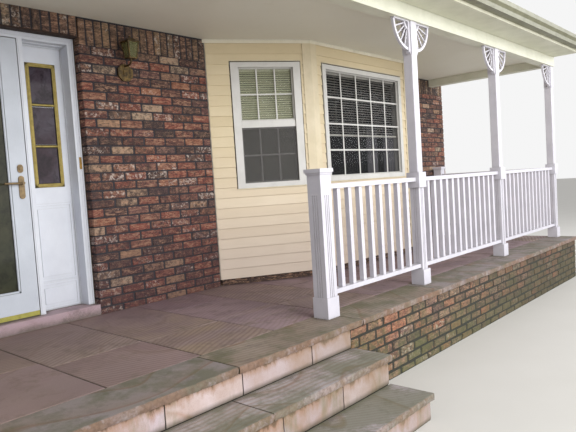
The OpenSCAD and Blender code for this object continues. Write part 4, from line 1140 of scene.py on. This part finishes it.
def opening(window, side):
    """The glass of a window, inside its casing."""
    left, right, foot, top = window
    return left + side, right - side, foot + CASING_HEAD, top - CASING_HEAD


def cant_window(side, place):
    """Two sashes with muntins, a screen before the lower one and a blind down to the rail."""
    left, right, foot, top = opening(CANT_WINDOW, CANT_SIDE)
    glass = Pile(side + "_window_glass", [CANT_GLASS], seed=61)
    inner = Pile(side + "_window_inside", [VINYL, BLIND, ROOM_SHADE, SCREEN], seed=62)
    for low, high in ((foot, MEETING_RAIL[0]), (MEETING_RAIL[1], top)):
        glass.box((left, PANE_FRONT, low), (right, PANE_BACK, high), 0, place)
        sash(inner, left, right, low, high, place, 10)
        muntins(inner, left, right, low, high, 3, 2, 15, place)
    inner.box((left, SCREEN_FRONT, foot), (right, SCREEN_FRONT + 0.6, MEETING_RAIL[0]), 3, place)
    # The dark sheet behind the glass is painted shade for the room.
    inner.box((left, ROOM_SHADE_DEPTH, foot), (right, ROOM_SHADE_DEPTH + 2, top), 2, place)
    blind(inner, left, right, MEETING_RAIL[0] + 20, top, 22, 19, place)
    inner.done(slot="window_vinyl")
    glass.done(slot="glass")


def front_window():
    """One wide sheet with muntins, a half-drawn blind and two curtains."""
    place = on_bay_front
    left, right, foot, top = opening(FRONT_WINDOW, FRONT_SIDE)
    glass = Pile("front_window_glass", [GLASS], seed=63)
    inner = Pile("front_window_inside", [VINYL, FRONT_BLIND, ROOM_SHADE, CURTAIN], seed=64)
    glass.box((left, PANE_FRONT, foot), (right, PANE_BACK, top), 0, place)
    sash(inner, left, right, foot, top, place, 8)
    muntins(inner, left, right, foot, top, 5, 4, 18, place)
    # The dark sheet behind the glass is painted shade for the room.
    inner.box((left, ROOM_SHADE_DEPTH, foot), (right, ROOM_SHADE_DEPTH + 2, top), 2, place)
    blind(inner, left, right, 1442, top, 27, -3, place)
    curtain(inner, 112, 332, foot + 8, 1600, place)
    curtain(inner, 470, right - 4, foot + 8, 1500, place)
    inner.done(slot="window_vinyl")
    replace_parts(glass.done(slot="glass"), "window_panes")


def build_windows():
    cant_window("left", on_left_cant)
    cant_window("right", on_right_cant)
    front_window()


# Roof and gutter

ROOF_ANGLE = math.radians(14)
DECK_THICK = 40
BOARD = 28
SHINGLE_COURSE = 140
TAB = 305
TAB_SHIFTS = (0, 0.5, 0.25, 0.75)


def on_roof(p):
    """(across, up the slope, above the deck's underside) on the porch roof."""
    c, s = math.cos(ROOF_ANGLE), math.sin(ROOF_ANGLE)
    return (p[0], DECK_FRONT + p[1] * c - p[2] * s, DECK_FOOT + p[1] * s + p[2] * c)


def on_wall_flashing(p):
    """The metal strip where the roof meets the house wall follows the slope."""
    return (p[0], p[1], DECK_TOP - 8 + (p[1] - PORCH_DEPTH) * math.tan(ROOF_ANGLE) + p[2])


def shingle_tab(pile, left, right, low, high, foot):
    """One tab: a thin wedge, thickest at its exposed edge."""
    edge, back = 8.5 + pile.chance.uniform(-1, 1), 2.5
    points = []
    for x in (left, right):
        points += [(x, low, foot), (x, low, foot + edge), (x, high, foot + back), (x, high, foot)]
    pile.add([on_roof(p) for p in points],
             [(0, 1, 2, 3), (7, 6, 5, 4), (0, 4, 5, 1), (1, 5, 6, 2), (2, 6, 7, 3), (3, 7, 4, 0)])


def build_shingles():
    """The roof boards, their metal edges, the courses of shingles and the strip at the wall."""
    left, right = ROOF_LEFT, ROOF_RIGHT
    length = (PORCH_DEPTH - DECK_FRONT) / math.cos(ROOF_ANGLE)
    start = BOARD * math.tan(ROOF_ANGLE)
    pile = Pile("roof_shingles", [SHINGLE, BEAM_PAINT, GUTTER_PAINT], seed=71)
    pile.box((left + 3, start + 3, 0), (right - 3, length, BOARD), 1, on_roof, 2)
    pile.boxes((((left, start + 1, 2), (right, start + 3, BOARD + 2)),
                ((left, start + 1, BOARD), (right, start + 70, BOARD + 1.5)),
                ((left, start + 1, 2), (left + 2, length, BOARD + 2)),
                ((right - 2, start + 1, 2), (right, length, BOARD + 2))), skin=2, place=on_roof)
    low = DECK_THICK * math.tan(ROOF_ANGLE)
    number = 0
    while low < length - 20:
        high = min(low + SHINGLE_COURSE + 30, length)
        x = left + 1 - TAB_SHIFTS[number % 4] * TAB
        while x < right - 1:
            start, end = max(x, left + 1), min(x + TAB - 5, right - 1)
            if end - start > 15:
                shingle_tab(pile, start, end, low + pile.chance.uniform(0, 3), high, BOARD)
            x += TAB
        low += SHINGLE_COURSE
        number += 1
    for front, top in ((PORCH_DEPTH - 90, 2), (PORCH_DEPTH - 3, 40)):
        pile.box((left + 40, front, 0), (right - 40, PORCH_DEPTH - 1, top), 2, on_wall_flashing)
    pile.done(slot="shingle", replaces=("roof_deck",))


def build_gutter_details():
    """Straps over the gutter, the rims of its end caps and the cover of its joint."""
    pile = Pile("gutter_straps", [GUTTER_PAINT], seed=72)
    front, back, top = GUTTER_FRONT, GUTTER_BACK - 1, GUTTER_TOP - 1
    for x in spaced(GUTTER_LEFT + 300, GUTTER_RIGHT - 300, 610):
        pile.box((x - 13, front + 2, top - 4), (x + 13, back, top - 2), bevel=0.6)
    for x in (GUTTER_LEFT + 1, GUTTER_RIGHT - 7):
        pile.box((x, front + 6, top - 8), (x + 6, back, top), bevel=1)
    joint = GUTTER_LEFT + 0.62 * (GUTTER_RIGHT - GUTTER_LEFT)
    pile.box((joint, front, top - 11), (joint + 40, front + 4, top), bevel=1)
    pile.done(slot="gutter_metal")


# Doorway

SLAB_FACE = LIGHT_FRONT + 10
CASING = 42
MULLION = 40
GRILLE_WIDTH = 242
GRILLE_RING = 30
GRILLE_BAR = 15


def ring(pile, left, right, foot, top, near, far, size, skin=0, bevel=1.5, sill=True):
    """Four strips round an opening, inside its edges."""
    pile.boxes((((left, near, foot), (left + size, far, top)),
                ((right - size, near, foot), (right, far, top)),
                ((left, near, top - size), (right, far, top))), skin=skin, bevel=bevel)
    if sill:
        pile.box((left, near, foot), (right, far, foot + size), skin, bevel=bevel)


def build_doorway():
    """Brickmould beads, jamb stops, the steel over the opening and dark strips of painted shadow at its
    sides.
    """
    pile = Pile("door_frame_beads", [DOOR_WHITE, RUST, SHADOW_GAP], seed=81)
    for inset, proud, size in ((3, 7, 12), (CASING - 12, 3, 7)):
        ring(pile, JAMB_LEFT + inset, JAMB_RIGHT - inset, SILL_HEIGHT, DOOR_HEAD - inset - 4,
             FRAME_Y - proud, FRAME_Y + 2, size, bevel=2.5, sill=False)
    for left, right in ((JAMB_LEFT + CASING, LEAF_LEFT - MULLION),
                        (LEAF_RIGHT + MULLION, JAMB_RIGHT - CASING)):
        for inset, depth in ((0, 70), (9, 20)):
            ring(pile, left + inset, right - inset, SILL_HEIGHT, LIGHT_TOP - inset,
                 SLAB_FACE - depth, SLAB_FACE, 9, sill=False)
    for x in (LEAF_LEFT - MULLION / 2, LEAF_RIGHT + MULLION / 2):
        pile.box((x - 5, FRAME_Y - 3, SILL_HEIGHT), (x + 5, FRAME_Y + 2, LEAF_TOP), bevel=2)
    pile.box((JAMB_LEFT + 1, PORCH_DEPTH + 6, DOOR_HEAD - 14),
             (JAMB_RIGHT - 1, FRAME_Y + 2, DOOR_HEAD - 0.5), 1)
    # Painted shadow: dark strips where the frame meets the brick.
    for x in (JAMB_LEFT, JAMB_RIGHT - 6):
        pile.box((x, FRAME_Y - 9, SILL_HEIGHT), (x + 6, FRAME_Y + 1, DOOR_HEAD - 8), 2)
    pile.done(slot="door_paint")


def build_leaf():
    """The trim that holds the storm door's glass, the glass's seal and the leaf's lower edge."""
    pile = Pile("storm_door_beads", [LEAF_WHITE, RUBBER], body="storm_door", seed=82)
    left, right, foot, top = GLASS_LEFT, GLASS_RIGHT, GLASS_FOOT, GLASS_TOP
    ring(pile, left, right, foot, top, FRAME_Y + 3, LEAF_GLASS, 17, bevel=4)
    ring(pile, left + 15, right - 15, foot + 15, top - 15, LEAF_GLASS - 4, LEAF_GLASS, 5, 1, 0.5)
    ring(pile, left, right, foot, top, LEAF_GLASS + 6, LEAF_BACK - 3, 15, bevel=3)
    pile.box((LEAF_LEFT + 1, FRAME_Y - 1, LEAF_FOOT - 3),
             (LEAF_RIGHT - 1, FRAME_Y + 1.5, LEAF_FOOT + 1), bevel=0.6)
    pile.done(slot="door_paint")


def build_grilles():
    """The gilt frames of the sidelights: a stepped ring and two thin bars each."""
    pile = Pile("sidelight_gilt_frames", [GILT, RUBBER], seed=83)
    foot, top, front, back = GRILLE_FOOT, GRILLE_TOP, GRILLE_FRONT, GRILLE_FRONT + 18
    inset = GRILLE_RING - 1
    for left in (GRILLE_LEFT, GRILLE_RIGHT - GRILLE_WIDTH):
        right = left + GRILLE_WIDTH
        ring(pile, left, right, foot, top, front + 3, back, GRILLE_RING, bevel=2)
        ring(pile, left + 7, right - 7, foot + 7, top - 7, front, back, 14, bevel=3)
        ring(pile, left + inset, right - inset, foot + inset, top - inset, front + 9, back, 4, 1, 0.5)
        bar_left, bar_right = left + GRILLE_RING, right - GRILLE_RING
        for z in spaced(foot, top, (top - foot) / 3)[1:-1]:
            pile.box((bar_left, front + 4, z - GRILLE_BAR / 2),
                     (bar_right, back - 4, z + GRILLE_BAR / 2), bevel=3)
            pile.box((bar_left, back - 4, z - 14), (bar_right, back, z + 14), 1)
    pile.done(slot="brass", replaces=("sidelight_grilles",))


# CAD pieces that keep their shape

# Material, bevel in millimetres and the pieces that have them
DRESSING = (
    (WHITE, 3, ("newels", "columns", "railing_one", "railing_two", "railing_three", "side_railings")),
    (WHITE, 0, ("fan_brackets",)),
    (BEAM_PAINT, 3, ("porch_beams",)),
    (BEAM_PAINT, 1.5, ("roof_ends",)),
    (CEILING_PAINT, 0, ("porch_ceiling",)),
    (SOFFIT_PAINT, 0, ("soffit",)),
    (FASCIA_PAINT, 1.5, ("fascia",)),
    (GUTTER_PAINT, 0, ("gutter",)),
    (MASONRY, 0, ("step_core",)),
    (SILL_STONE, 4, ("door_sill",)),
    (DOOR_WHITE, 2.5, ("door_frame",)),
    (DOOR_WHITE, 3, ("sidelights",)),
    (LEAF_WHITE, 2.5, ("storm_door",)),
    (DOOR_GLASS, 0, ("storm_door_glass",)),
    (SIDE_GLASS, 0, ("sidelight_panes",)),
    (STRIP, 1, ("storm_door_strip",)),
    (BRASS, 0, ("storm_door_hinges", "frame_hinges")),
    (BRASS, 1.5, ("doorbell",)),
    (BRONZE, 2, ("door_handle",)),
    (PLASTER, 0, ("bay_left", "bay_front", "bay_right")),
    (KERB_BRICK, 3, ("bay_kerb",)),
    (CORNER_PAINT, 2, ("bay_corner_boards",)),
    (TRIM_PAINT, 2, ("bay_trim",)),
    (VINYL, 3, ("window_frames",)),
    (AGED, 1.5, ("wall_lantern",)),
    (LAMP_GLASS, 0, ("lantern_glass",)),
)


def dress(node, material, bevel):
    """Gives a CAD piece its material and softens its edges."""
    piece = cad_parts[node]
    for slot in piece.material_slots:
        slot.material = material
    if bevel:
        modifier = piece.modifiers.new("Soft edges", "BEVEL")
        modifier.width = bevel / 1000
        modifier.segments = 2
        modifier.limit_method = "ANGLE"
        modifier.angle_limit = math.radians(40)


def build_dressing():
    for material, bevel, nodes in DRESSING:
        for node in nodes:
            dress(node, material, bevel)


# Camera, floor and light

CAMERA_PLACE = (-3111.5, -2490.2, 984.7)
CAMERA_YAW = 42.05
CAMERA_PITCH = -3.42
CAMERA_ROLL = -3.68
FOCAL_PIXELS = 574.3
IMAGE_WIDTH = 576
SENSOR_WIDTH = 36
WORLD_LIGHT = 0.62
WORLD_SEEN = 0.92

# Name, place and target in the porch layout, size in metres, power in watts and colour
LAMPS = (
    ("Key", (-1500, -9000, 5200), (1000, 600, 900), 6.0, 740, (1.0, 0.99, 0.98)),
    ("Low fill", (1500, -8500, 900), (1000, 1200, 1200), 8.0, 540, (1.0, 1.0, 1.0)),
    ("Right fill", (10500, -5500, 3800), (2500, 600, 900), 5.0, 330, (0.97, 0.98, 1.0)),
    ("Back", (3000, 9500, 5200), (1000, 2000, 1200), 5.0, 420, (1.0, 1.0, 1.0)),
)


def build_camera():
    yaw, pitch, roll = (math.radians(v) for v in (CAMERA_YAW, CAMERA_PITCH, CAMERA_ROLL))
    forward = Vector((math.cos(yaw) * math.cos(pitch), math.sin(yaw) * math.cos(pitch),
                      math.sin(pitch)))
    level = Vector((math.sin(yaw), -math.cos(yaw), 0))
    above = level.cross(forward)
    right = math.cos(roll) * level + math.sin(roll) * above
    up = -math.sin(roll) * level + math.cos(roll) * above
    data = bpy.data.cameras.new("Camera")
    data.sensor_width = SENSOR_WIDTH
    data.lens = SENSOR_WIDTH * FOCAL_PIXELS / IMAGE_WIDTH
    data.clip_end = 200
    camera = add_object("Camera", data)
    turn = Matrix((right, up, -forward)).transposed().to_4x4()
    camera.matrix_world = Matrix.Translation(at(*CAMERA_PLACE)) @ turn
    bpy.context.scene.camera = camera


def build_stage():
    mesh = bpy.data.meshes.new("floor")
    reach = 60
    mesh.from_pydata([(-reach, -reach, 0), (reach, -reach, 0), (reach, reach, 0), (-reach, reach, 0)],
                     [], [(0, 1, 2, 3)])
    floor = add_object("floor", mesh)
    made = Material("Studio floor", roughness=0.9)
    made.body = made.mix(made.noise(2, 3, 0.5), "d6d4d0", "cfcdc8")
    mesh.materials.append(made.finish())


def build_world():
    """An even white sky, brighter where it is seen or mirrored than where it only lights."""
    world = bpy.data.worlds.new("Studio")
    world.use_nodes = True
    nodes = Nodes(world.node_tree)
    path = nodes.node("ShaderNodeLightPath").outputs
    seen = nodes.math("MAXIMUM", path["Is Camera Ray"], path["Is Glossy Ray"])
    seen = nodes.math("MAXIMUM", seen, path["Is Transmission Ray"])
    background = nodes.tree.nodes["Background"].inputs
    background["Color"].default_value = (1.0, 1.0, 1.0, 1.0)
    nodes.wire(nodes.between(seen, WORLD_LIGHT, WORLD_SEEN), background["Strength"])
    bpy.context.scene.world = world


def build_light():
    for name, place, target, size, power, colour in LAMPS:
        light = bpy.data.lights.new(name, "AREA")
        light.shape = "SQUARE"
        light.size = size
        light.energy = power
        light.color = colour
        lamp = add_object(name, light)
        lamp.location = at(*place)
        lamp.rotation_euler = (at(*target) - at(*place)).to_track_quat("-Z", "Y").to_euler()
    bpy.context.scene.view_settings.view_transform = "Standard"


build_house_wall()
build_base()
build_floor()
build_steps()
build_siding()
build_windows()
build_shingles()
build_gutter_details()
build_doorway()
build_leaf()
build_grilles()
build_dressing()
build_camera()
build_stage()
build_world()
build_light()
